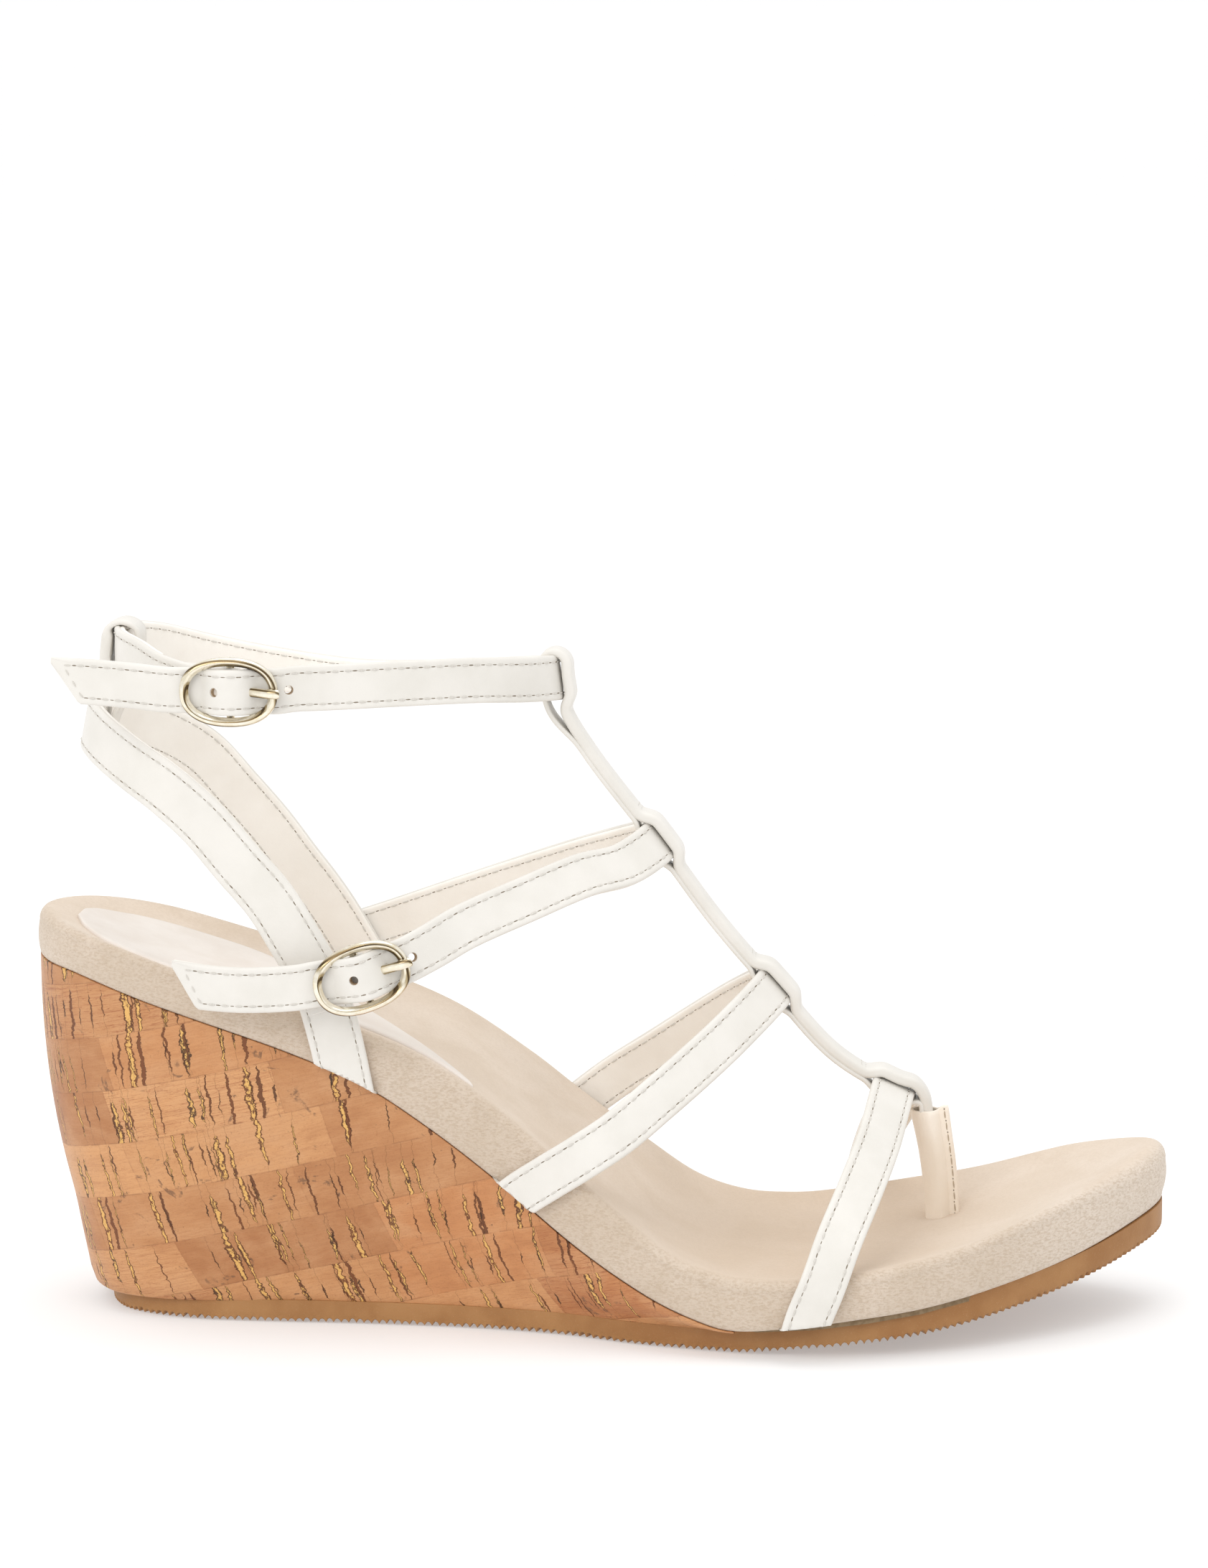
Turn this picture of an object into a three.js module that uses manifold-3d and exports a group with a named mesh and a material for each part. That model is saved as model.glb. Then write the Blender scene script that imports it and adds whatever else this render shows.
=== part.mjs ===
// Right-foot wedge sandal with T-shaped spine, two buckled straps and a toe post.
// Millimetres, +Z up, +X from heel to toe, +Y to the inner (big toe) side.
// Every length below is measured from the back of the heel (x = 0) on the ground (z = 0); the finished
// group is shifted so that its origin lies under the middle of its box.
import * as THREE from "three";
import { mergeVertices } from "three/addons/utils/BufferGeometryUtils.js";
import Module from "manifold-3d";

// ---------- driving dimensions ----------
const GAP = 0.3;               // clearance between pieces that touch
const OUTSOLE = 4.4;           // rubber thickness
const COVER = 1.0;             // microsuede wrap
const CORK = 1.2;              // cork sheet round the wedge
const BOARD = 2.0;             // insole board
const WEDGE_END = 149;         // where the wedge runs out under the ball
const WALL_CURVE = 2.2;        // how late the wedge wall leans in towards the ground
const STRAP_WIDTH = 9.3;
const SLING_WIDTH = 11;         // the strap round the back of the heel is wider
const STRAP_HALF = 1.1;        // half the thickness of a two-ply strap
const PLY_SPLIT = 0.2;         // half the space between the two plies
const WALL_CLEAR = 0.5;        // strap lining to footbed wall
const TAIL_SLANT = 6;          // how far a free end's lower corner falls short of its upper one
const LOOP_WIDTH = 7.5;        // loop at the back of the ankle
const TUCK = 1.0;              // thickness of the strap end held under the footbed
const TUCK_EASE = 0.12;         // extra room over that end
const TUCK_REACH = 8;          // how far a strap end runs in under the footbed
const SHOULDER = 2.4;          // rounding of the footbed's upper edge
const STATIONS = 26;           // sections along the sole pieces

// Heights along the sole, [x, z]: ground side, underside of the footbed, rim of the footbed.
const BOTTOM = [[0, 0], [148, 0], [160, 1.2], [174, 2.6], [188, 4.3], [202, 7], [218, 11], [236, 17]];
const SEAT = [[0, 74], [10, 72.9], [26, 68.6], [41, 64], [56, 59], [72, 52.2], [86, 43.2],
  [100, 32.8], [116, 20.6], [131, 11.6], [143, 6.9], [149, 5.7], [160, 5.9], [174, 7.3], [188, 9],
  [202, 11.7], [218, 15.7], [236, 21.7]];
const RIM = [[0, 84.3], [10, 83], [20, 80.6], [33, 76.6], [50, 71.5], [70, 65], [85, 58.3], [100, 48.2],
  [110, 40.2], [125, 28.6], [135, 21.6], [145, 17.6], [155, 16.3], [165, 16.6], [180, 18.3],
  [195, 21.4], [210, 26.4], [225, 31.6], [236, 35.4]];
// Depth of the footbed's hollow below its rim.
const DISH = [[0, 0.3], [6, 2.2], [15, 4], [45, 4], [75, 2], [110, 1.2], [150, 1.6], [200, 1.4], [236, 0.4]];

// Plan outline of the footbed, from the heel back round the outer side to the toe and back, [x, y].
const OUTLINE = [[-1.2, 0], [2.6, -13], [12, -22.5], [26, -28.8], [45, -30.5], [75, -30.3], [100, -31.5],
  [122, -36.5], [142, -41.5], [160, -43], [178, -40.5], [196, -32.5], [213, -20], [227, -5.5],
  [235, 9], [235, 19], [229, 27], [215, 33.5], [196, 38.5], [176, 40.2], [156, 39], [132, 35],
  [105, 31], [75, 29.5], [45, 30], [26, 28.3], [12, 22.3], [2.6, 13]];
// Plan outline where the sandal meets the ground.
const GROUND = [[11.8, 0], [13.6, -8.5], [18.5, -15.8], [28, -20.2], [45, -21.6], [70, -21.4], [95, -22.9],
  [113, -26.4], [128, -32], [144, -35.8], [160, -38.2], [178, -37.2], [196, -30.4], [212, -18.8],
  [225.4, -5], [233.2, 9], [233.2, 19], [227.5, 26], [214, 32.3], [195.5, 37.2], [176, 38.8], [156, 37],
  [132, 31], [105, 25.8], [77, 24], [45, 23.4], [28, 20.8], [18.5, 15.6], [13.6, 8.5]];

const HEEL_SCREWS = [[24, -10], [24, 10], [44, -11], [44, 11]];

const COLOUR = {
  strap: 0xf0ece4,
  lining: 0xe2d9cc,
  buckle: 0xcfc09a,
  rubber: 0xb9885a,
  core: 0xcfae83,
  cork: 0xb98a5c,
  board: 0x9b8468,
  steel: 0xb8b8b8,
  foam: 0xe9e2d4,
  suede: 0xcdb7a2,
  label: 0xeee9df,
  wrap: 0xdfcdb4,
};

// ---------- geometry helpers ----------
const wasm = await Module();
wasm.setup();

const group = new THREE.Group();

function addPart(name, geometry, colour, roughness, metalness = 0) {
  const material = new THREE.MeshStandardMaterial({ color: colour, roughness, metalness });
  const mesh = new THREE.Mesh(geometry, material);
  mesh.name = name;
  group.add(mesh);
}

const vec = (x, y, z) => new THREE.Vector3(x, y, z);

// A smooth curve through [x, value] points, read at any x.
function profile(table) {
  const last = table.length - 1;
  const slope = table.map((_, i) => {
    const a = table[Math.max(i - 1, 0)];
    const b = table[Math.min(i + 1, last)];
    return (b[1] - a[1]) / (b[0] - a[0]);
  });
  return (x) => {
    const after = table.findIndex((p) => p[0] > x);
    const i = after < 0 ? last - 1 : Math.max(after - 1, 0);
    const span = table[i + 1][0] - table[i][0];
    const t = THREE.MathUtils.clamp((x - table[i][0]) / span, 0, 1);
    const [t2, t3] = [t * t, t * t * t];
    return (2 * t3 - 3 * t2 + 1) * table[i][1] + (t3 - 2 * t2 + t) * span * slope[i]
      + (3 * t2 - 2 * t3) * table[i + 1][1] + (t3 - t2) * span * slope[i + 1];
  };
}

// Turns points and triangles into a geometry whose faces point out.
function outwardGeometry(points, index) {
  let volume = 0;
  for (let i = 0; i < index.length; i += 3) {
    const [a, b, c] = [points[index[i]], points[index[i + 1]], points[index[i + 2]]];
    volume += a.dot(b.clone().cross(c));
  }
  const geometry = new THREE.BufferGeometry().setFromPoints(points);
  geometry.setIndex(volume < 0 ? index.reverse() : index);
  geometry.computeVertexNormals();
  return geometry;
}

function addLid(index, section, start, flip) {
  const normal = vec(0, 0, 0);
  section.forEach((p, j) => normal.add(p.clone().cross(section[(j + 1) % section.length])));
  normal.normalize();
  const along = section[1].clone().sub(section[0]);
  const u = along.addScaledVector(normal, -along.dot(normal)).normalize();
  const v = normal.clone().cross(u);
  const flat = section.map((p) => new THREE.Vector2(p.dot(u), p.dot(v)));
  for (const [a, b, c] of THREE.ShapeUtils.triangulateShape(flat, [])) {
    index.push(...(flip ? [start + a, start + c, start + b] : [start + a, start + b, start + c]));
  }
}

// Skins a row of equal-length sections; an open row gets a lid at each end.
function loft(sections, closed = false) {
  const count = sections[0].length;
  const rows = closed ? sections.length : sections.length - 1;
  const index = [];
  for (let i = 0; i < rows; i += 1) {
    const next = (i + 1) % sections.length;
    for (let j = 0; j < count; j += 1) {
      const [a, b] = [i * count + j, i * count + ((j + 1) % count)];
      const [c, d] = [next * count + j, next * count + ((j + 1) % count)];
      index.push(a, b, d, a, d, c);
    }
  }
  if (!closed) {
    addLid(index, sections[0], 0, true);
    addLid(index, sections.at(-1), (sections.length - 1) * count, false);
  }
  return outwardGeometry(sections.flat(), index);
}

function solid(geometry) {
  const bare = geometry.clone();
  bare.deleteAttribute("normal");
  bare.deleteAttribute("uv");
  const merged = mergeVertices(bare, 1e-4);
  return new wasm.Manifold(new wasm.Mesh({
    numProp: 3,
    vertProperties: Float32Array.from(merged.attributes.position.array),
    triVerts: Uint32Array.from(merged.index.array),
  }));
}

function fromSolid(manifold) {
  const mesh = manifold.getMesh();
  const geometry = new THREE.BufferGeometry();
  geometry.setAttribute("position", new THREE.BufferAttribute(mesh.vertProperties, 3));
  geometry.setIndex(new THREE.BufferAttribute(mesh.triVerts, 1));
  geometry.computeVertexNormals();
  return geometry;
}

const cut = (geometry, tools) => fromSolid(tools.reduce((a, b) => a.subtract(solid(b)), solid(geometry)));
const join = (parts) => fromSolid(parts.map(solid).reduce((a, b) => a.add(b)));

// ---------- sole: outlines and heights ----------
const undersideAt = profile(BOTTOM);
const bottomAt = (x) => Math.max(0, undersideAt(x));
const seatAt = profile(SEAT);
const rimAt = profile(RIM);
const dishAt = profile(DISH);
const outsoleTop = (x) => bottomAt(x) + OUTSOLE;

// An outline moved inwards by `inset`: its two ends and its y on the outer (-1) or inner (+1) side.
function edges(outline, inset) {
  const curve = new THREE.CatmullRomCurve3(outline.map(([x, y]) => vec(x, y, 0)), true);
  const ring = Array.from({ length: 400 }, (_, i) => {
    const [p, t] = [curve.getPointAt(i / 400), curve.getTangentAt(i / 400)];
    return vec(p.x - t.y * inset, p.y + t.x * inset, 0);
  });
  const xs = ring.map((p) => p.x);
  const at = (x, side) => {
    const hits = [];
    ring.forEach((p, i) => {
      const q = ring[(i + 1) % ring.length];
      if ((p.x - x) * (q.x - x) <= 0 && p.x !== q.x) {
        hits.push(p.y + ((q.y - p.y) * (x - p.x)) / (q.x - p.x));
      }
    });
    return side < 0 ? Math.min(...hits) : Math.max(...hits);
  };
  return { low: Math.min(...xs) + 0.15, high: Math.max(...xs) - 0.15, at };
}

const footbedEdge = edges(OUTLINE, 0);

// Fractions along the sole, closer together at the round ends.
const FRACTIONS = Array.from({ length: STATIONS + 1 }, (_, i) => {
  const t = i / STATIONS;
  return 0.35 * t + 0.65 * (0.5 - 0.5 * Math.cos(Math.PI * t));
});
const spread = (edge) => FRACTIONS.map((t) => edge.low + (edge.high - edge.low) * t);

// A slab of an outline between two heights.
function slab(outline, inset, lowAt, highAt) {
  const edge = edges(outline, inset);
  return loft(spread(edge).map((x) => {
    const [a, b] = [edge.at(x, -1), edge.at(x, 1)];
    return [vec(x, a, lowAt(x)), vec(x, b, lowAt(x)), vec(x, b, highAt(x)), vec(x, a, highAt(x))];
  }));
}

// ---------- footbed ----------
const ACROSS = [0, 0.04, 0.13, 0.3, 0.5, 0.7, 0.87, 0.96, 1];

// Height of the footbed's upper skin, moved in by `inset`.
function footbedTop(x, y, inset = 0) {
  const [a, b] = [footbedEdge.at(x, -1), footbedEdge.at(x, 1)];
  const t = THREE.MathUtils.clamp((y - a) / (b - a), 0, 1);
  const dip = dishAt(x) * (1 - (2 * t - 1) ** 4);
  const depth = THREE.MathUtils.clamp(Math.min(y - a, b - y) / SHOULDER, 0, 1);
  return rimAt(x) - inset - dip - SHOULDER * (1 - depth) ** 2;
}

function footbedShape(inset, lowAt) {
  const edge = edges(OUTLINE, inset);
  return loft(spread(edge).map((x) => {
    const [a, b] = [edge.at(x, -1), edge.at(x, 1)];
    const ys = ACROSS.map((t) => a + (b - a) * t);
    return [vec(x, a, lowAt(x)), ...ys.map((y) => vec(x, y, footbedTop(x, y, inset))), vec(x, b, lowAt(x))];
  }));
}

// The pad on the heel seat, [x, y] along its outer and inner edges: round behind, its inner edge
// sweeping over to a point at the outer side of the arch.
const PAD_OUTER = [[7, -3], [10, -10], [18, -18], [32, -24.2], [50, -26], [75, -26], [94, -27.8]];
const PAD_INNER = [[7, 3], [10, 9], [18, 15.5], [32, 18.5], [45, 16.5], [57, 8], [68, -5], [81, -17],
  [94, -27]];
const PAD_LIFT = 0.45;
const PAD_THICK = 0.8;

function labelShape() {
  const [outer, inner] = [profile(PAD_OUTER), profile(PAD_INNER)];
  const rows = Array.from({ length: 21 }, (_, i) => 7 + (87 * i) / 20);
  return loft(rows.map((x) => {
    const ys = [0, 0.2, 0.4, 0.6, 0.8, 1].map((t) => outer(x) * (1 - t) + inner(x) * t);
    const under = ys.map((y) => vec(x, y, footbedTop(x, y) + PAD_LIFT));
    const over = under.map((p) => vec(p.x, p.y, p.z + PAD_THICK)).reverse();
    return [...under, ...over];
  }));
}

// ---------- wedge ----------
const RINGS = [1, 0.85, 0.65, 0.4, 0];

// The wedge with its wall leaning in to the ground, `inset` inside the cork face. `extra` runs it on
// past its top and bottom, for cutting.
function wedgeShape(inset, extra, end) {
  const [upper, lower] = [edges(OUTLINE, inset), edges(GROUND, inset)];
  const highs = spread(upper);
  const lows = spread(lower);
  const body = loft(highs.map((xTop, i) => {
    const xLow = lows[i];
    const foot = outsoleTop(xLow) + GAP;
    const head = Math.max(seatAt(xTop) - GAP, foot + 0.05);
    const wall = (side) => RINGS.map((f) => {
      const g = f ** WALL_CURVE;
      const y = upper.at(xTop, side) * (1 - g) + lower.at(xLow, side) * g;
      const past = f === 1 ? -extra : extra * (f === 0);
      return vec(xTop + (xLow - xTop) * g, y, head + (foot - head) * f + past);
    });
    return [...wall(-1), ...wall(1).reverse()];
  }));
  const box = new THREE.BoxGeometry(200, 200, 300).translate(end + 100, 0, 50);
  return cut(body, [box]);
}

function screwShape([x, y], grow) {
  const points = [[0, -22 - grow], [1.2 + grow, -20], [1.6 + grow, -1.9], [3.2 + grow, -0.5],
    [3.2 + grow, grow * 6], [0, grow * 6]];
  const lean = Math.atan((seatAt(x - 4) - seatAt(x + 4)) / 8);
  const shape = new THREE.LatheGeometry(points.map(([r, z]) => new THREE.Vector2(r, z)), 12);
  return shape.rotateX(Math.PI / 2).rotateY(lean).translate(x, y, seatAt(x) + BOARD);
}

// ---------- straps ----------
// Stations along a strap: middle point, outward normal and width direction.
function route(points, step = 3.4) {
  const path = new THREE.CatmullRomCurve3(points.map((p) => vec(p[0], p[1], p[2])), false, "centripetal");
  const facing = new THREE.CatmullRomCurve3(points.map((p) => vec(p[3], p[4], p[5])), false, "centripetal");
  const spans = points.length - 1;
  const times = [0];
  for (let i = 0; i < spans; i += 1) {
    const chord = path.points[i].distanceTo(path.points[i + 1]);
    const pieces = THREE.MathUtils.clamp(Math.round(chord / step), 1, 5);
    for (let j = 1; j <= pieces; j += 1) times.push((i + j / pieces) / spans);
  }
  const start = path.points[0];
  return times.map((t) => {
    const tangent = path.getTangent(t);
    const normal = facing.getPoint(t);
    normal.addScaledVector(tangent, -normal.dot(tangent)).normalize();
    const p = path.getPoint(t);
    return { p, n: normal, b: tangent.clone().cross(normal), at: t * spans, far: p.distanceTo(start) };
  });
}

function ribbon(stations, low, high, halfAt = () => STRAP_WIDTH / 2) {
  return loft(stations.map(({ p, n, b, far }) => {
    const edge = (side) => p.clone().addScaledVector(b, side * halfAt(far, side));
    const corner = (side, lift) => edge(side).addScaledVector(n, lift);
    return [corner(-1, low), corner(1, low), corner(1, high), corner(-1, high)];
  }));
}

const outerPly = (stations, halfAt) => ribbon(stations, PLY_SPLIT, STRAP_HALF, halfAt);
const innerPly = (stations, halfAt) => ribbon(stations, -STRAP_HALF, -PLY_SPLIT, halfAt);

// A point outside the footbed wall, with the wall's outward normal.
function onWall(x, side, z, out = WALL_CLEAR + STRAP_HALF) {
  const slope = (footbedEdge.at(x + 3, side) - footbedEdge.at(x - 3, side)) / 6;
  const normal = vec(-slope * side, side, 0).normalize();
  return [x + out * normal.x, footbedEdge.at(x, side) + out * normal.y, z, ...normal.toArray()];
}

// The end of a strap, turned in under the footbed between x = from and x = to.
function tuckShape(from, to, side, grow = 0) {
  const rows = [0, 0.5, 1].map((t) => from - grow + (to - from + 2 * grow) * t);
  return loft(rows.map((x) => {
    const edge = footbedEdge.at(x, side);
    const outside = edge + side * (WALL_CLEAR + 2 * STRAP_HALF + (grow ? 3 : 0));
    const inside = edge - side * (TUCK_REACH + grow);
    const [low, high] = [seatAt(x) - GAP - TUCK - grow, seatAt(x) - GAP - TUCK_EASE + 2 * grow];
    return [vec(x, outside, low), vec(x, inside, low), vec(x, inside, high), vec(x, outside, high)];
  }));
}

const belowTuck = slab(OUTLINE, -12, () => -30, (x) => seatAt(x) - GAP - TUCK);
const belowSeat = slab(OUTLINE, -12, () => -30, (x) => seatAt(x) + GAP);

// ---------- spine ----------
const SPINE_WIDTH = 5.8;
const SPINE_PLY = 1.0;
const SPINE_MIDDLE = [[107.7, 3, 140], [107.9, 3, 132.9], [109.6, 3.2, 126], [115.2, 4.2, 116.6],
  [129, 5.8, 98.4], [141.4, 7.3, 81.3], [153.2, 8.6, 67.4], [166.2, 10, 53], [178.4, 11.2, 45.6],
  [184.6, 11.9, 43.5], [186.8, 12.2, 40.2], [187.1, 12.25, 37.4], [187.6, 12.3, 34]];
const spineCurve = new THREE.CatmullRomCurve3(SPINE_MIDDLE.map((p) => vec(...p)));
spineCurve.arcLengthDivisions = 800;
const spineLength = spineCurve.getLength();

function spineAt(distance) {
  const u = THREE.MathUtils.clamp(distance / spineLength, 0, 1);
  const t = spineCurve.getTangentAt(u);
  const b = vec(0, 1, 0).addScaledVector(t, -t.y).normalize();
  return { p: spineCurve.getPointAt(u), t, b, n: t.clone().cross(b).normalize() };
}

// Distance along the spine of the point nearest to a given x and z.
function spineNear(x, z) {
  let best = 0;
  let least = Infinity;
  for (let s = 0; s <= spineLength; s += 0.25) {
    const { p } = spineAt(s);
    const d = Math.hypot(p.x - x, p.z - z);
    if (d < least) [best, least] = [s, d];
  }
  return best;
}

const CROSSINGS = {
  ankle: spineNear(107.9, 132.9),
  instep: spineNear(129, 98.4),
  mid: spineNear(153.2, 67.4),
  toe: spineNear(178.4, 45.6),
};

// How far each ply stands from the spine's middle: together between straps, apart round a strap.
function plyOffset(distance, side) {
  const together = SPINE_PLY / 2 + PLY_SPLIT;
  const apart = STRAP_HALF + SPINE_PLY / 2 + (side > 0 ? 0.6 : 1.3);
  const bumps = Object.entries(CROSSINGS).map(([name, s]) => {
    const half = name === "ankle" ? 7 : 5.4;
    return 1 - THREE.MathUtils.smoothstep(Math.abs(distance - s), half, half + 4);
  });
  return together + (apart - together + 0.2 * bumps[0]) * Math.max(...bumps);
}

function spineShape() {
  const top = CROSSINGS.ankle - STRAP_WIDTH / 2 - 0.9;
  const steps = 58;
  const row = (side) => Array.from({ length: steps + 1 }, (_, i) => {
    const s = top + ((spineLength - top) * i) / steps;
    const at = spineAt(s);
    const offset = side * plyOffset(s, side);
    return { p: at.p.clone().addScaledVector(at.n, offset), n: at.n.clone().multiplyScalar(side), b: at.b };
  });
  const [front, back] = [row(1), row(-1)];
  const [a, b] = [front[0], back[0]];
  const middle = a.p.clone().lerp(b.p, 0.5);
  const radius = a.p.distanceTo(b.p) / 2;
  const up = spineAt(top).t.clone().negate();
  const bend = [0.25, 0.5, 0.75].map((t) => {
    const n = a.n.clone().multiplyScalar(Math.cos(Math.PI * t)).addScaledVector(up, Math.sin(Math.PI * t));
    return { p: middle.clone().addScaledVector(n, radius), n, b: a.b };
  });
  const all = [...front.reverse(), ...bend, ...back];
  return ribbon(all, -SPINE_PLY / 2, SPINE_PLY / 2, () => SPINE_WIDTH / 2);
}

function crossing(name) {
  const { p, n } = spineAt(CROSSINGS[name]);
  return [p.x, p.y, p.z, n.x, n.y, n.z];
}

// ---------- buckles ----------
const BUCKLE_LONG = 9.1;       // half length, to the middle of the wire
const BUCKLE_SHORT = 6.4;      // half height
const OVAL = 2.3;              // 2 is an ellipse, more is squarer
const WIRE = 0.95;             // wire radius
const BAR = 0.85;              // centre bar radius
const BAR_DROP = 2.8;          // bar below the plane of the ring
const PRONG_WIDTH = 1.9;

// A buckle's own frame: x along the strap, y along the bar, z away from the foot, origin on the bar.
function buckleFrame(origin, tilt, yaw) {
  const along = vec(Math.cos(tilt) * Math.cos(yaw), Math.sin(yaw), Math.sin(tilt) * Math.cos(yaw));
  const out = vec(0, -1, 0).addScaledVector(along, along.y).normalize();
  const bar = out.clone().cross(along);
  return new THREE.Matrix4().makeBasis(along, bar, out).setPosition(...origin);
}

function tube(path, radius, sides, closed) {
  return loft(path.map(({ p, n, b }) => Array.from({ length: sides }, (_, j) => {
    const a = (2 * Math.PI * j) / sides;
    return p.clone().addScaledVector(n, radius * Math.cos(a)).addScaledVector(b, radius * Math.sin(a));
  })), closed);
}

function buckleRing() {
  const count = 28;
  const along = vec(1, 0, 0);
  const ring = Array.from({ length: count }, (_, i) => {
    const a = (2 * Math.PI * i) / count;
    const round = (v) => Math.sign(v) * Math.abs(v) ** (2 / OVAL);
    const p = vec(BUCKLE_LONG * round(Math.cos(a)), BUCKLE_SHORT * round(Math.sin(a)), BAR_DROP);
    const n = vec(Math.cos(a) / BUCKLE_LONG, Math.sin(a) / BUCKLE_SHORT, 0).normalize();
    return { p, n, b: vec(0, 0, 1) };
  });
  const legs = [[-6.3, 2.6, 90], [-6.2, 1.2, 80], [-5.7, 0.3, 45], [-4.9, 0, 8], [4.9, 0, -8],
    [5.7, 0.3, -45], [6.2, 1.2, -80], [6.3, 2.6, -90]];
  const bar = legs.map(([y, z, turn]) => {
    const a = THREE.MathUtils.degToRad(turn);
    return { p: vec(0, y, z), n: vec(0, Math.sin(a), Math.cos(a)), b: along };
  });
  return join([tube(ring, WIRE, 8, true), tube(bar, BAR, 10, false)]);
}

function buckleProng() {
  const outer = new THREE.CylinderGeometry(1.8, 1.8, PRONG_WIDTH, 16);
  const hole = new THREE.CylinderGeometry(BAR + 0.22, BAR + 0.22, 4, 16);
  const line = [[1.2, 0.35], [2.6, 1.15], [4.4, 2.25], [7, 3.85], [9.1, 4.75], [10.3, 4.8]];
  const shaft = loft(line.map(([x, z], i) => {
    const tip = i === line.length - 1;
    const [w, h] = tip ? [0.6, 0.4] : [PRONG_WIDTH / 2, 0.6];
    return [vec(x, -w, z - h), vec(x, w, z - h), vec(x, w, z + h), vec(x, -w, z + h)];
  }));
  return cut(join([outer, shaft]), [hole]);
}

// Lines in a buckle's frame, as [x, z, nx, nz] of a strap's middle. FOLD is the strap end that turns
// round the bar and back; BILLET is the pointed end, over the bar and under both sides of the ring.
const FOLD = [[-9.2, -2.9, -0.1, 1], [-5, -2.7, -0.2, 1], [-3.4, -2.1, -0.7, 1], [-2, -0.9, -1, 1],
  [-0.9, 0.5, -0.8, 1], [0, 0.95, 0, 1], [0.7, 0.7, 1, 1], [0.95, 0, 1, 0], [0.7, -0.7, 1, -1],
  [0, -1, 0.1, -1], [-1.3, -1.6, 0.5, -1], [-2.6, -2.4, 0.5, -1], [-4, -3, 0.3, -1],
  [-9.2, -3.4, 0.1, -1], [-12.5, -3.6, 0.1, -1]];
const BILLET = [[-13.5, -0.3, 0, 1], [-9.1, 0.1, -0.1, 1], [-6.8, 0.25, -0.2, 1], [-5.2, 0.75, -0.6, 1],
  [-3.7, 1.95, -0.9, 1], [-2, 3, -0.5, 1], [0, 3.4, 0, 1], [2, 3, 0.5, 1], [3.7, 1.95, 0.9, 1],
  [5.2, 0.75, 0.6, 1], [6.8, 0.25, 0.2, 1], [9.1, 0.1, 0.1, 1]];

// `bend` curves a line away from the buckle's axis; `sink` lowers a folded end towards the foot.
function inBuckle(matrix, line, bend = 0, sink = 0) {
  const turn = new THREE.Matrix4().extractRotation(matrix);
  return line.map(([x, z, nx, nz]) => {
    const p = vec(x, x < 0 ? bend * x * x : 0, z - sink * Math.max(0, -x - 5)).applyMatrix4(matrix);
    return [...p.toArray(), ...vec(nx, 0, nz).applyMatrix4(turn).toArray()];
  });
}

function prongSlot(matrix) {
  return new THREE.BoxGeometry(6.2, PRONG_WIDTH + 1, 4.6).translate(0.2, 0, -0.05).applyMatrix4(matrix);
}

function prongHole(matrix) {
  const hole = new THREE.BoxGeometry(3.4, PRONG_WIDTH + 0.7, 3.6).rotateY(0.8);
  return hole.translate(3.75, 0, 1.8).applyMatrix4(matrix);
}

const ankleBuckle = buckleFrame([45.5, -33, 134.4], 0, 0);
const instepBuckle = buckleFrame([72.6, -37.8, 76.8], 0.35, 0.17);

// ---------- strap routes: [x, y, z, normal x, y, z] ----------
const side = (x, y, z) => [x, y, z, 0, Math.sign(y), 0];

const slingRoute = [
  [70.3, -1, 47.5], [68.8, -1, 53], [66, -1, 63.6],
].map(([x, s, z]) => onWall(x, s, z)).concat([
  side(62.9, -32.6, 74.2), side(57.1, -32, 84.6), side(52.6, -31, 91.2), [46.3, -29.6, 97.9, -0.05, -1, 0],
  [38.6, -27.6, 106.1, -0.15, -1, 0.05], [30.4, -24.2, 112.3, -0.35, -1, 0.1], [21.3, -18.4, 117.2, -0.8, -1, 0.15],
  [13.8, -10.6, 121.2, -1, -0.6, 0.2], [10, 0, 123, -1, 0, 0.2], [13.8, 10.5, 121.4, -1, 0.6, 0.2],
  [21, 17.2, 118.6, -0.8, 1, 0.15], [29.3, 22.4, 112.9, -0.35, 1, 0.1], [36.1, 25.8, 104.6, -0.15, 1, 0.05],
  [42.9, 28, 96.1, -0.05, 1, 0], side(48.5, 29.4, 88.2), side(53, 30.2, 82.1), side(57.5, 30.8, 75.2),
]).concat([
  [64.6, 1, 62], [67.4, 1, 53.5], [69, 1, 47.5],
].map(([x, s, z]) => onWall(x, s, z)));

const ankleLead = [[8.5, -32.6, 136, 0, -1, 0], [17, -32.8, 135.7, 0, -1, 0], [25, -32.9, 135.1, 0, -1, 0]];
const ankleLoop = [
  [58.6, -31.9, 134.8, 0.1, -1, 0], [64.5, -30.2, 134.9, 0.15, -1, 0], [79.5, -25, 135.2, 0.3, -1, 0],
  [93.4, -17.3, 135, 0.6, -1, 0], [102.7, -8.3, 134, 1, -0.8, 0], crossing("ankle"),
  [103.2, 13, 131.4, 1, 0.8, 0], [94.2, 18, 130.2, 0.5, 1, 0], [78.9, 23, 128.8, 0.25, 1, 0],
  [64, 26.2, 128.3, 0.1, 1, 0], [53.4, 27.4, 129.2, 0, 1, 0], [39.6, 27, 131.4, -0.15, 1, 0],
  [29.5, 23.2, 134, -0.4, 1, 0], [22, 15.3, 137, -0.9, 1, 0], [18.4, 7, 138.4, -1, 0.4, 0],
  [17.4, 0, 138.7, -1, 0, 0], [18.8, -7, 138.4, -1, -0.5, 0], [23, -14.2, 137.4, -1, -0.9, 0],
  [28.8, -22, 135.7, -0.8, -1, 0],
];
const ankleRoute = [...ankleLead, ...inBuckle(ankleBuckle, BILLET), ...ankleLoop,
  ...inBuckle(ankleBuckle, FOLD, 0, 0.45)];

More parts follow.
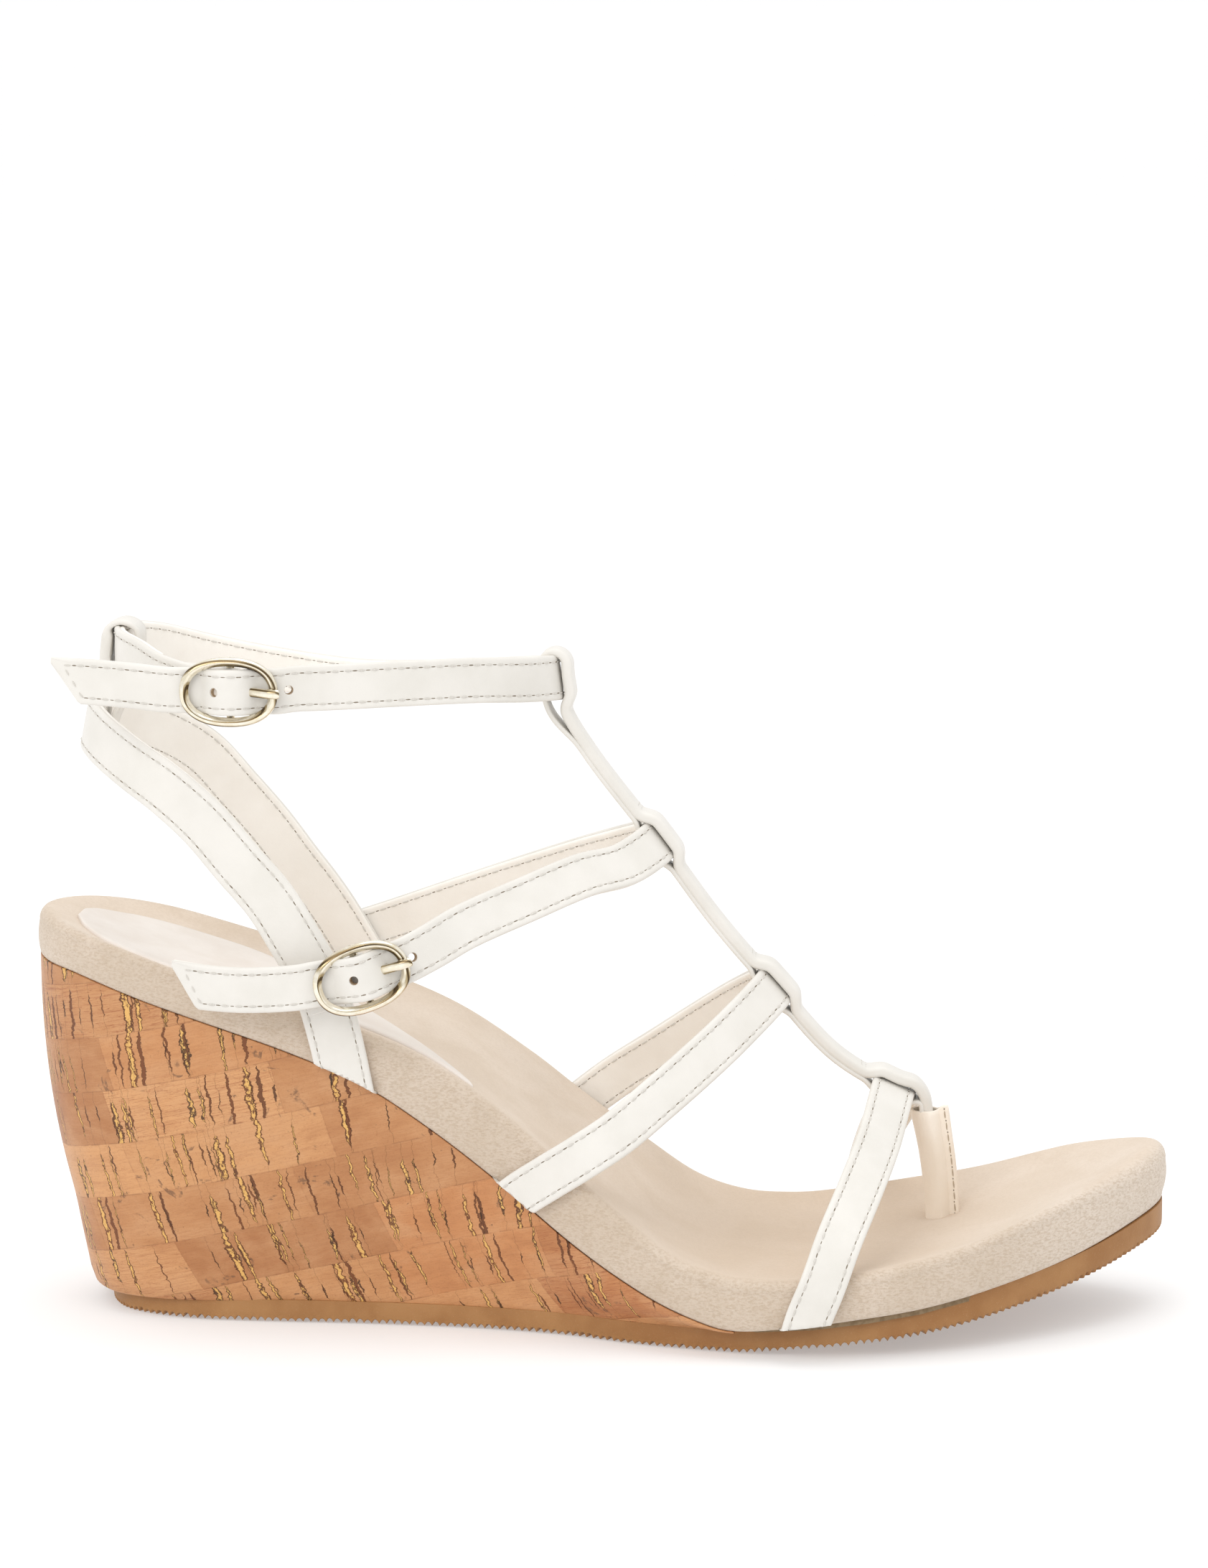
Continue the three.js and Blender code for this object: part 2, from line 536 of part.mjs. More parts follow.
const instepLead = [[34.6, -39.4, 76.6, 0, -1, 0], [42, -39.6, 74.6, 0, -1, 0], [49, -39.7, 73.8, 0, -1, 0]];
const instepLoop = [
  [86.4, -33.4, 81.6, 0.45, -1, 0.2], [92.4, -29.4, 83.6, 0.5, -0.9, 0.35],
  [104.4, -23.2, 87.7, 0.6, -0.7, 0.45],
  [115.2, -15.5, 91.5, 0.65, -0.55, 0.5], [123, -7.4, 95.3, 0.7, -0.35, 0.6], crossing("instep"),
  [123.4, 18.4, 95.8, 0.7, 0.35, 0.6], [113.5, 24.4, 92.6, 0.65, 0.55, 0.45], [98.6, 28.8, 87, 0.5, 0.8, 0.3],
  [84.9, 31.6, 81, 0.3, 1, 0.15], [71.2, 33.4, 75.8, 0.1, 1, 0.05],
  [65, 33.8, 73.6, 0, 1, 0], [59, 33.7, 71.6, 0, 1, 0],
];
const instepRoute = [...instepLead, ...inBuckle(instepBuckle, BILLET, 0.008), ...instepLoop];

const midRoute = [
  onWall(100.5, -1, 27.4), onWall(104.6, -1, 31), onWall(110.4, -1, 35),
  [117.4, -35.6, 39.8, 0.1, -1, 0.25], [124.3, -33, 44.2, 0.3, -1, 0.4], [131.5, -27.6, 49.8, 0.5, -0.9, 0.5],
  [138.8, -19.6, 55.4, 0.6, -0.7, 0.6], [145.8, -9.6, 61, 0.7, -0.4, 0.6], crossing("mid"),
  [146.2, 22.6, 62.2, 0.7, 0.4, 0.6], [137.6, 29.2, 55.8, 0.6, 0.8, 0.5], [127, 33.2, 48.2, 0.3, 1, 0.35],
  [117, 34.2, 41.4, 0.1, 1, 0.1], onWall(109.6, 1, 35.6), onWall(104.6, 1, 31.4), onWall(101, 1, 27.6),
];

const toeRoute = [
  onWall(163.6, -1, 3), onWall(164.6, -1, 9), onWall(166.6, -1, 16),
  [169, -40, 24.4, 0.2, -1, 0.5], [173, -28.4, 31.8, 0.35, -0.7, 0.8],
  [176.4, -12, 38.8, 0.45, -0.35, 0.85],
  crossing("toe"), [178.1, 27, 39, 0.45, 0.6, 0.8], [174, 36.8, 29.8, 0.3, 1, 0.5],
  onWall(171.2, 1, 19, 2), onWall(170.2, 1, 10), onWall(169.6, 1, 3),
];

const backLoopRoute = [
  [12.2, 0, 119, -1, 0, 0.2], [13.1, 0, 123.5, -1, 0, 0.2], [13.6, 0, 128.4, -1, 0, 0], [13.2, 0, 134, -1, 0, 0],
  [13.5, 0, 139.6, -1, 0, 0.1], [14.3, 0, 143.7, -1, 0, 0.6], [17.3, 0, 145.3, 0, 0, 1],
  [20.6, 0, 143.8, 1, 0, 0.6],
  [20.8, 0, 139.6, 1, 0, 0], [20.3, 0, 134, 1, 0, 0], [17.6, 0, 128.4, 1, 0, -0.3], [15.4, 0, 124, 1, 0, -0.3],
  [13.8, 0, 119.2, 1, 0, -0.2],
];

// Cuts a strap's first end slantwise: the upper corner stays, the lower edge starts further along.
function slanted(far, side) {
  const reach = side < 0 ? 1 : Math.min(1, -0.75 + (1.75 * far) / TAIL_SLANT);
  return (reach * STRAP_WIDTH) / 2;
}

// A strap whose two ends are held under the footbed: the outer ply turns in, the lining stops short.
function heldStrap(name, points, tucks, halfAt) {
  const stations = route(points);
  const outer = cut(outerPly(stations, halfAt), [belowTuck]);
  addPart(name, join([outer, ...tucks.map((t) => tuckShape(...t))]), COLOUR.strap, 0.5);
  addPart(`${name}_lining`, cut(innerPly(stations, halfAt), [belowSeat]), COLOUR.lining, 0.7);
}

const TUCKS = {
  sling: [[63.2, 74.4, -1], [61.8, 73, 1]],
  mid: [[99.2, 106.4, -1], [99.6, 106.8, 1]],
  toe: [[159.4, 168.8, -1], [165.2, 174.6, 1]],
};
const pockets = Object.values(TUCKS).flat().map((t) => tuckShape(...t, GAP));

// ---------- toe post ----------
// Sections of the sleeve that wraps the spine's lower end: [z, middle x, half length, half width].
const POST = [[40.8, 185.7, 4.3, 4.6], [36, 186.9, 3.8, 4.3], [31.5, 187.8, 3.7, 3.9], [26, 188.6, 3.6, 2.8],
  [18, 189.4, 3.5, 2.5], [13.4, 189.6, 3.5, 2.5]];

function postShape(grow, over) {
  const rows = POST.map(([z, x, a, b], i) => {
    const lift = (i === 0 ? over : 0) - (i === POST.length - 1 ? over : 0);
    return Array.from({ length: 12 }, (_, j) => {
      const angle = (2 * Math.PI * j) / 12;
      const [c, s] = [Math.cos(angle), Math.sin(angle)];
      const round = (v) => Math.sign(v) * Math.abs(v) ** 0.6;
      return vec(x + (a + grow) * round(c), 12.3 + (b + grow) * round(s), z + lift);
    });
  });
  return loft(rows);
}

// ---------- the pieces ----------
const postSlot = postShape(GAP, 0);
const screwHoles = HEEL_SCREWS.map((at) => screwShape(at, GAP));

addPart("outsole", cut(slab(GROUND, -0.5, bottomAt, outsoleTop), pockets), COLOUR.rubber, 0.75);
const block = wedgeShape(CORK + 3 * GAP, 0, WEDGE_END - CORK - 3 * GAP);
addPart("wedge_block", cut(block, [...pockets, ...screwHoles]), COLOUR.core, 0.8);
addPart("cork_wrap", cut(wedgeShape(0, 0, WEDGE_END), [wedgeShape(CORK, 3, WEDGE_END + 20), ...pockets]),
  COLOUR.cork, 0.7);
addPart("insole_board", cut(slab(OUTLINE, COVER + GAP, seatAt, (x) => seatAt(x) + BOARD), screwHoles),
  COLOUR.board, 0.9);
HEEL_SCREWS.forEach((at, i) => addPart(`heel_screw_${i + 1}`, screwShape(at, 0), COLOUR.steel, 0.4, 1));
addPart("footbed_core", cut(footbedShape(COVER + 2 * GAP, (x) => seatAt(x) + BOARD + GAP), [postSlot]),
  COLOUR.foam, 0.9);
addPart("footbed_cover", cut(footbedShape(0, seatAt), [footbedShape(COVER, (x) => seatAt(x) - 4), postSlot]),
  COLOUR.suede, 0.85);
addPart("sock_label", labelShape(), COLOUR.label, 0.5);

heldStrap("sling_strap", slingRoute, TUCKS.sling, () => SLING_WIDTH / 2);
heldStrap("mid_strap", midRoute, TUCKS.mid);
heldStrap("toe_strap", toeRoute, TUCKS.toe);

const ankleStations = route(ankleRoute);
const ankleLining = ankleStations.filter((s) => s.at <= ankleRoute.length - FOLD.length - 1);
const ankleCuts = [prongSlot(ankleBuckle), prongHole(ankleBuckle)];
addPart("ankle_strap", cut(outerPly(ankleStations, slanted), ankleCuts), COLOUR.strap, 0.5);
addPart("ankle_strap_lining", cut(innerPly(ankleLining, slanted), ankleCuts), COLOUR.lining, 0.7);

const instepStations = route(instepRoute);
const instepCuts = [prongHole(instepBuckle)];
addPart("instep_strap", cut(outerPly(instepStations, slanted), instepCuts), COLOUR.strap, 0.5);
addPart("instep_strap_lining", cut(innerPly(instepStations, slanted), instepCuts), COLOUR.lining, 0.7);

addPart("spine_strap", spineShape(), COLOUR.strap, 0.5);
addPart("toe_post_wrap", cut(postShape(0, 0), [postShape(-1, 2)]), COLOUR.wrap, 0.6);
addPart("back_loop", ribbon(route(backLoopRoute), -0.5, 0.5, () => LOOP_WIDTH / 2), COLOUR.strap, 0.5);
const tab = ribbon(route(inBuckle(instepBuckle, FOLD)), PLY_SPLIT, STRAP_HALF);
addPart("instep_buckle_tab", cut(tab, [prongSlot(instepBuckle)]), COLOUR.strap, 0.5);

for (const [name, matrix] of [["ankle", ankleBuckle], ["instep", instepBuckle]]) {
  addPart(`${name}_buckle_frame`, buckleRing().applyMatrix4(matrix), COLOUR.buckle, 0.3, 1);
  addPart(`${name}_buckle_prong`, buckleProng().applyMatrix4(matrix), COLOUR.buckle, 0.3, 1);
}

const box = new THREE.Box3().setFromObject(group);
group.position.set(-(box.min.x + box.max.x) / 2, -(box.min.y + box.max.y) / 2, -box.min.z);

export default group;
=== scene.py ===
# Looks of the wedge sandal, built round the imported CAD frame. Shapes are worked out in millimetres from
# the back of the heel (x = 0) on the ground (z = 0), +X to the toe and +Y to the inner side, then moved
# into the frame.
import bisect
import random
from math import (acos, atan2, copysign, cos, exp, floor, hypot, pi,
                  radians, sin, sqrt)

import bmesh
import bpy
from mathutils import Matrix, Vector


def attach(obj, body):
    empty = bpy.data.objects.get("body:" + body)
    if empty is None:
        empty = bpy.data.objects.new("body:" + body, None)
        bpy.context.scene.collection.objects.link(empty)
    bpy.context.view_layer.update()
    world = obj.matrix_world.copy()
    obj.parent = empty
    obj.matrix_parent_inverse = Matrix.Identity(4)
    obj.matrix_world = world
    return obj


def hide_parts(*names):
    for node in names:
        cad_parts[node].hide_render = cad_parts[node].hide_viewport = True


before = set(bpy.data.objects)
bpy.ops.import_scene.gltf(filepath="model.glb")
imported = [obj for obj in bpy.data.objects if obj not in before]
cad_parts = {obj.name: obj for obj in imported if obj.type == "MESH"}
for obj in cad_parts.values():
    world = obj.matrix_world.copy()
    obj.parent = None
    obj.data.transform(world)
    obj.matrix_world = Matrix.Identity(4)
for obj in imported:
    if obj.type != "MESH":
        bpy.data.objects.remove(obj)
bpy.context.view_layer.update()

ORIGIN = Vector((-117.2574, 1.1932, 0.0))  # the heel's back on the ground, in the frame, in millimetres

OUTSOLE = 4.4       # thickness, and what it gains in front of the wedge
THICKER = 1.1
SHOULDER = 3.0      # rounding of the footbed's upper edge, and what the toe adds to it
TOE_SHOULDER = 2.4
CAP = 24.0          # radius of the round ends of the footbed's hollow
WEDGE_END = 149.0
WALL_CURVE = 2.2    # how sharply the cork wall draws in towards the ground
WIDTH = 9.3         # every strap but the sling
SLING_WIDTH = 11.0
SLANT = 6.0         # length of a strap's slanted free end
ROW = 3.25          # stitch row, from the strap's middle
PITCH = 2.7         # from stitch to stitch
STITCH = 1.7
POST_X, POST_Y = 189.2, 12.3        # where the toe post meets the footbed, which is dimpled round it
DIMPLE, DIMPLE_RADIUS = 0.7, 3.0

# Heights along the sandal (x, z): the outsole's underside, the wedge's top, the footbed's rim, and how far
# the footbed is hollowed. Then plans (x, y): the footbed's outline and the one on the ground.

BOTTOM = [(0, 0), (148, 0), (160, 1.2), (174, 2.6), (188, 4.3), (202, 7), (218, 11), (236, 17)]
SEAT = [(0, 74), (10, 72.9), (26, 68.6), (41, 64), (56, 59), (72, 52.2), (86, 43.2), (100, 32.8),
        (116, 20.6), (131, 11.6), (143, 6.9), (149, 5.8), (160, 6.7), (174, 8.5), (188, 10.2), (202, 12.9),
        (218, 16.9), (236, 22.8)]
RIM = [(0, 84.3), (10, 83), (20, 80.6), (33, 76.6), (50, 71.5), (70, 65), (85, 58.3), (100, 48.2),
       (110, 40.2), (125, 28.6), (135, 21.6), (145, 17.9), (155, 17.0), (165, 17.6), (180, 19.5),
       (195, 22.7), (210, 27.6), (225, 32.8), (236, 36.5)]
DISH = [(0, 0.3), (6, 2.2), (15, 4), (45, 4), (75, 2), (110, 1.2), (150, 2.3), (200, 2.5), (236, 0.5)]
OUTLINE = [(-1.2, 0), (2.6, -13), (12, -22.5), (26, -28.8), (45, -30.5), (75, -30.3), (100, -31.5),
           (122, -36.5), (142, -41.5), (160, -43), (178, -40.5), (196, -32.5), (213, -20), (227, -5.5),
           (235, 9), (235, 19), (229, 27), (215, 33.5), (196, 38.5), (176, 40.2), (156, 39), (132, 35),
           (105, 31), (75, 29.5), (45, 30), (26, 28.3), (12, 22.3), (2.6, 13)]
GROUND = [(11.8, 0), (13.6, -8.5), (18.5, -15.8), (28, -20.2), (45, -21.6), (70, -21.4), (95, -22.9),
          (113, -26.4), (128, -32), (144, -35.8), (160, -38.2), (178, -37.2), (196, -30.4), (212, -18.8),
          (225.4, -5), (233.2, 9), (233.2, 19), (227.5, 26), (214, 32.3), (195.5, 37.2), (176, 38.8),
          (156, 37), (132, 31), (105, 25.8), (77, 24), (45, 23.4), (28, 20.8), (18.5, 15.6), (13.6, 8.5)]


# ---------- curves ----------
def profile(table):
    last = len(table) - 1
    slope = []
    for i in range(len(table)):
        a, b = table[max(i - 1, 0)], table[min(i + 1, last)]
        slope.append((b[1] - a[1]) / (b[0] - a[0]))
    xs = [p[0] for p in table]

    def at(x):
        i = min(max(bisect.bisect_right(xs, x) - 1, 0), last - 1)
        span = xs[i + 1] - xs[i]
        t = min(max((x - xs[i]) / span, 0.0), 1.0)
        t2, t3 = t * t, t * t * t
        return ((2 * t3 - 3 * t2 + 1) * table[i][1] + (t3 - 2 * t2 + t) * span * slope[i]
                + (3 * t2 - 2 * t3) * table[i + 1][1] + (t3 - t2) * span * slope[i + 1])
    return at


def centripetal(points, closed=False):
    pts = [Vector(p) for p in points]
    count = len(pts)

    def at(t):
        span = (count if closed else count - 1) * t
        i = floor(span)
        w = span - i
        if not closed and i >= count - 1:
            i, w = count - 2, 1.0
        p1, p2 = pts[i % count], pts[(i + 1) % count]
        p0 = pts[(i - 1) % count] if closed or i > 0 else p1 * 2 - p2
        p3 = pts[(i + 2) % count] if closed or i + 2 < count else p2 * 2 - p1
        d0, d1, d2 = [max((b - a).length_squared, 1e-12) ** 0.25 for a, b in ((p0, p1), (p1, p2), (p2, p3))]
        d1 = d1 if d1 > 1e-4 else 1.0
        d0 = d0 if d0 > 1e-4 else d1
        d2 = d2 if d2 > 1e-4 else d1
        m1 = ((p1 - p0) / d0 - (p2 - p0) / (d0 + d1) + (p2 - p1) / d1) * d1
        m2 = ((p2 - p1) / d1 - (p3 - p1) / (d1 + d2) + (p3 - p2) / d2) * d1
        c2 = p2 * 3 - p1 * 3 - m1 * 2 - m2
        c3 = p1 * 2 - p2 * 2 + m1 + m2
        return p1 + m1 * w + c2 * (w * w) + c3 * (w * w * w)
    return at


def lengths(points):
    total = [0.0]
    for a, b in zip(points, points[1:]):
        total.append(total[-1] + (b - a).length)
    return total


def find(run, at):
    """The index of the first distance past a place (the last at most), and the share of the step there."""
    j = min(max(bisect.bisect_right(run, at), 1), len(run) - 1)
    return j, (at - run[j - 1]) / max(run[j] - run[j - 1], 1e-9)


def smooth(low, high, x):
    t = min(max((x - low) / (high - low), 0.0), 1.0)
    return t * t * (3 - 2 * t)


class Outline:
    """A closed plan outline: evenly spaced points with inward normals, and y on each side at any x."""

    def __init__(self, table, count=1400):
        curve = centripetal([(x, y, 0) for x, y in table], True)
        dense = [curve(i / 6000) for i in range(6001)]
        run = lengths(dense)
        self.perimeter = run[-1]
        self.ring = []
        for i in range(count):
            j, w = find(run, self.perimeter * i / count)
            self.ring.append(dense[j - 1].lerp(dense[j], w))
        self.low = min(p.x for p in self.ring)
        self.high = max(p.x for p in self.ring)
        self.sides = {side: self._side(side) for side in (-1, 1)}

    def _side(self, side, rows=420):
        table = []
        for k in range(rows + 1):
            x = self.low + (self.high - self.low) * (0.5 - 0.5 * cos(pi * k / rows))
            x = min(max(x, self.low + 0.002), self.high - 0.002)
            hits = []
            for i, p in enumerate(self.ring):
                q = self.ring[(i + 1) % len(self.ring)]
                if (p.x - x) * (q.x - x) <= 0 and p.x != q.x:
                    hits.append(p.y + (q.y - p.y) * (x - p.x) / (q.x - p.x))
            table.append(min(hits) if side < 0 else max(hits))
        return table

    def y(self, x, side):
        t = (x - self.low) / (self.high - self.low)
        angle = acos(min(max(1 - 2 * t, -1.0), 1.0)) / pi
        table = self.sides[side]
        k = min(int(angle * (len(table) - 1)), len(table) - 2)
        w = angle * (len(table) - 1) - k
        return table[k] * (1 - w) + table[k + 1] * w

    def even(self, count):
        """Points and inward normals, evenly spaced along the outline."""
        step = len(self.ring) / count
        out = []
        for i in range(count):
            k = i * step
            a, b = self.ring[int(k) % len(self.ring)], self.ring[(int(k) + 1) % len(self.ring)]
            p = a.lerp(b, k - int(k))
            ahead, behind = self.ring[(int(k) + 3) % len(self.ring)], self.ring[(int(k) - 2) % len(self.ring)]
            t = (ahead - behind).normalized()
            out.append((p, Vector((-t.y, t.x, 0))))
        return out


bottom_raw, seat, rim, dish = profile(BOTTOM), profile(SEAT), profile(RIM), profile(DISH)
top_plan, ground_plan = Outline(OUTLINE), Outline(GROUND)


def sole_thickness(x):
    return OUTSOLE + THICKER * smooth(149, 174, x)


def underside(x):
    return max(0.0, bottom_raw(x))


# ---------- meshes ----------
def add_object(name, data):
    obj = bpy.data.objects.new(name, data)
    bpy.context.scene.collection.objects.link(obj)
    return obj


class Build:
    """Points, faces and grain coordinates of one mesh, filled bit by bit."""

    def __init__(self):
        self.points, self.faces, self.grain = [], [], []

    def rings(self, rings, grains=None, lids=True, loop=False):
        """Joins rings of points with faces, and closes the two ends with lids or into a loop."""
        base, count = len(self.points), len(rings[0])
        for k, ring in enumerate(rings):
            self.points += ring
            self.grain += grains[k] if grains else [(0, 0, 0)] * count
        rows = len(rings) if loop else len(rings) - 1
        for i in range(rows):
            n = (i + 1) % len(rings)
            for j in range(count):
                k = (j + 1) % count
                self.faces.append((base + i * count + j, base + i * count + k,
                                   base + n * count + k, base + n * count + j))
        if lids and not loop:
            self.faces.append(tuple(base + j for j in reversed(range(count))))
            self.faces.append(tuple(base + (len(rings) - 1) * count + j for j in range(count)))
        return self

    def blob(self, centre, axes, sizes, rows=4, sides=8):
        """A small ellipsoid with half sizes along three axes."""
        rings = []
        for i in range(rows + 1):
            a = pi * (i + 0.02) / (rows + 0.04)
            rings.append([centre - axes[0] * (sizes[0] * cos(a))
                          + axes[1] * (sizes[1] * sin(a) * cos(2 * pi * j / sides))
                          + axes[2] * (sizes[2] * sin(a) * sin(2 * pi * j / sides))
                          for j in range(sides)])
        self.rings(rings)

    def piece(self, name, material, body="sandal", hides=(), slot=None, sharp=38.0, grain=False):
        """Turns the mesh into a visible piece; edges sharper than `sharp` degrees stay sharp."""
        mesh = bpy.data.meshes.new(name)
        mesh.from_pydata([(Vector(p) + ORIGIN) / 1000 for p in self.points], [], self.faces)
        if grain:
            layer = mesh.attributes.new("grain", "FLOAT_VECTOR", "POINT")
            layer.data.foreach_set("vector", [c for g in self.grain for c in g])
        bm = bmesh.new()
        bm.from_mesh(mesh)
        bmesh.ops.remove_doubles(bm, verts=bm.verts, dist=2e-6)
        bmesh.ops.dissolve_degenerate(bm, edges=bm.edges, dist=1e-6)
        bmesh.ops.recalc_face_normals(bm, faces=bm.faces)
        bm.to_mesh(mesh)
        bm.free()
        mesh.shade_smooth()
        mesh.set_sharp_from_angle(angle=radians(sharp))
        mesh.materials.append(material)
        obj = add_object(name, mesh)
        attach(obj, body)
        if hides:
            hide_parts(*hides)
        return obj


# ---------- materials ----------
EXPOSED = 0.84  # the studio light lifts a surface facing the camera by the inverse of this


def srgb(r, g, b, lit=EXPOSED):
    """The linear base colour of a surface that should look like this 8-bit colour under the studio light."""
    def one(c):
        c /= 255
        return lit * (c / 12.92 if c <= 0.04045 else ((c + 0.055) / 1.055) ** 2.4)
    return (one(r), one(g), one(b), 1.0)


class Net:
    """A material's nodes, built from sums."""

    def __init__(self, name, **inputs):
        self.material = bpy.data.materials.new(name)
        self.material.use_nodes = True
        self.tree = self.material.node_tree
        self.shader = self.tree.nodes["Principled BSDF"]
        for key, value in inputs.items():
            self.shader.inputs[key.replace("_", " ")].default_value = value

    def node(self, kind, values=(), **settings):
        made = self.tree.nodes.new(kind)
        for key, value in settings.items():
            setattr(made, key, value)
        for key, value in values:
            self.put(made.inputs[key], value)
        return made

    def put(self, socket, value):
        if isinstance(value, bpy.types.NodeSocket):
            self.tree.links.new(value, socket)
        elif isinstance(value, tuple) and len(value) == 3 and len(socket.default_value) == 4:
            socket.default_value = (*value, 1.0)
        else:
            socket.default_value = value

    def math(self, kind, a, b=0.0, c=0.0):
        return self.node("ShaderNodeMath", [(0, a), (1, b), (2, c)], operation=kind).outputs[0]

    def add(self, a, b):
        return self.math("ADD", a, b)

    def sub(self, a, b):
        return self.math("SUBTRACT", a, b)

    def mul(self, a, b):
        return self.math("MULTIPLY", a, b)

    def div(self, a, b):
        return self.math("DIVIDE", a, b)

    def abs(self, a):
        return self.math("ABSOLUTE", a)

    def fit(self, a, scale, start):
        return self.math("MULTIPLY_ADD", a, scale, start)

    def step(self, x, low, high):
        """0 below low, 1 above high, smooth between; low may be above high."""
        made = self.node("ShaderNodeMapRange", [("Value", x), ("From Min", low), ("From Max", high)])
        made.interpolation_type = "SMOOTHSTEP"
        return made.outputs[0]

    def mix(self, factor, a, b, kind="MIX"):
        made = self.node("ShaderNodeMix", data_type="RGBA", blend_type=kind)
        for key, value in ((0, factor), (6, a), (7, b)):
            self.put(made.inputs[key], value)
        return made.outputs[2]

    def vector(self, x=0.0, y=0.0, z=0.0):
        return self.node("ShaderNodeCombineXYZ", [(0, x), (1, y), (2, z)]).outputs[0]

    def split(self, vector):
        return self.node("ShaderNodeSeparateXYZ", [(0, vector)]).outputs

    def noise(self, vector, scale, detail=3.0, rough=0.5, warp=0.0):
        made = self.node("ShaderNodeTexNoise", [("Vector", vector), ("Scale", scale), ("Detail", detail),
                                                ("Roughness", rough), ("Distortion", warp)])
        return made.outputs[0]

    def white(self, vector):
        made = self.node("ShaderNodeTexWhiteNoise", [("Vector", vector)], noise_dimensions="3D")
        return self.split(made.outputs["Color"])

    def grain(self):
        return self.node("ShaderNodeAttribute", attribute_name="grain").outputs["Vector"]

    def place(self):
        """Object position, in millimetres."""
        return self.scaled(self.node("ShaderNodeTexCoord").outputs["Object"], 1000.0, 1000.0, 1000.0)

    def bump(self, height, distance, strength=1.0):
        """Bump from a height, where 1 is `distance` millimetres."""
        made = self.node("ShaderNodeBump", [("Strength", strength), ("Distance", distance / 1000),
                                            ("Height", height)])
        self.tree.links.new(made.outputs[0], self.shader.inputs["Normal"])

    def colour(self, value):
        self.put(self.shader.inputs["Base Color"], value)

    def blotch(self, base, source, low, high, share, colour):
        """Mixes in up to a share of another colour where the source goes from low to high."""
        return self.mix(self.mul(self.step(source, low, high), share), base, colour)

    def scaled(self, vector, *scale):
        return self.node("ShaderNodeVectorMath", [(0, vector), (1, scale)], operation="MULTIPLY").outputs[0]

    def rough(self, value):
        self.put(self.shader.inputs["Roughness"], value)


def leather(name, light, shade, roughness=0.45, grain_depth=0.05):
    net = Net(name, Roughness=roughness, Specular_IOR_Level=0.42)
    where = net.place()
    cloud = net.noise(where, 0.09, 3.0, 0.55)
    net.colour(net.mix(net.step(cloud, 0.3, 0.72), light, shade))
    pebble = net.noise(where, 2.3, 4.0, 0.62)
    crease = net.noise(where, 0.55, 2.0, 0.5, 0.6)
    net.rough(net.fit(pebble, 0.16, roughness - 0.08))
    net.bump(net.add(net.mul(pebble, 0.65), net.mul(crease, 0.9)), grain_depth)
    return net.material


def thread(name, colour):
    net = Net(name, Roughness=0.75)
    where = net.place()
    twist = net.node("ShaderNodeTexWave", [("Vector", where), ("Scale", 1.6), ("Distortion", 1.5)])
    net.colour(net.mix(twist.outputs[0], colour, tuple(c * 0.8 for c in colour[:3])))
    net.bump(twist.outputs[0], 0.04)
    return net.material


def suede(name):
    """Microsuede: soft nap with drifting light and dark patches, coarser on the wall (grain z = 1)."""
    net = Net(name, Roughness=0.92, Specular_IOR_Level=0.25, Sheen_Weight=0.35, Sheen_Roughness=0.55)
    net.put(net.shader.inputs["Sheen Tint"], (1.0, 0.95, 0.88, 1.0))
    where = net.place()
    wall = net.split(net.grain())[2]
    drift = net.noise(where, 0.055, 3.0, 0.6, 0.5)
    nap = net.noise(net.scaled(where, 0.8, 0.8, 1.7), 1.5, 4.0, 0.62)
    fleck = net.noise(where, 4.2, 2.0, 0.6)
    top = net.mix(net.step(drift, 0.3, 0.7), srgb(233, 216, 198), srgb(224, 205, 184))
    side = net.mix(net.step(drift, 0.3, 0.7), srgb(228, 211, 193), srgb(218, 200, 180))
    ball = net.split(where)[0]
    # The top is darkened across the ball: painted shade of the hollow there, with a foot stain.
    darkening = net.mul(net.step(ball, 0.0, 30.0), net.step(ball, 92.0, 64.0))
    top = net.mix(net.mul(darkening, 0.5), top, srgb(212, 186, 158))
    # Painted light: the wall is lightened towards the toe, where it faces away from the lamps.
    side = net.mix(net.mul(net.step(ball, 70.0, 112.0), 0.7), side, srgb(240, 226, 211))
    base = net.mix(wall, top, side)
    base = net.mix(net.mul(net.step(nap, 0.40, 0.66), net.fit(wall, 0.42, 0.16)),
                   base, srgb(196, 173, 147))
    base = net.blotch(base, fleck, 0.52, 0.72, 0.25, srgb(238, 222, 203))
    net.colour(base)
    depth = net.fit(wall, 0.75, 0.3)
    net.bump(net.mul(net.add(nap, net.mul(fleck, 0.4)), depth), 0.22)
    return net.material


def rubber(name):
    net = Net(name, Roughness=0.55, Specular_IOR_Level=0.4)
    where = net.place()
    drift = net.noise(where, 0.08, 3.0, 0.6)
    height = net.split(where)[2]
    base = net.mix(net.step(drift, 0.3, 0.7), srgb(180, 131, 80), srgb(162, 112, 62))
    dust = net.noise(where, 3.0, 3.0, 0.7)
    base = net.blotch(base, dust, 0.56, 0.75, 0.3, srgb(205, 165, 125))
    base = net.blotch(base, height, 1.6, 0.0, 0.35, srgb(206, 150, 92))
    net.colour(base)
    net.bump(net.noise(where, 1.6, 4.0, 0.6), 0.08)
    return net.material


def plain(name, a, b, scale, roughness, depth, metal=0.0):
    net = Net(name, Roughness=roughness, Metallic=metal)
    where = net.place()
    spread = net.noise(where, scale, 4.0, 0.6)
    net.colour(net.mix(net.step(spread, 0.35, 0.65), a, b))
    net.bump(spread, depth)
    return net.material


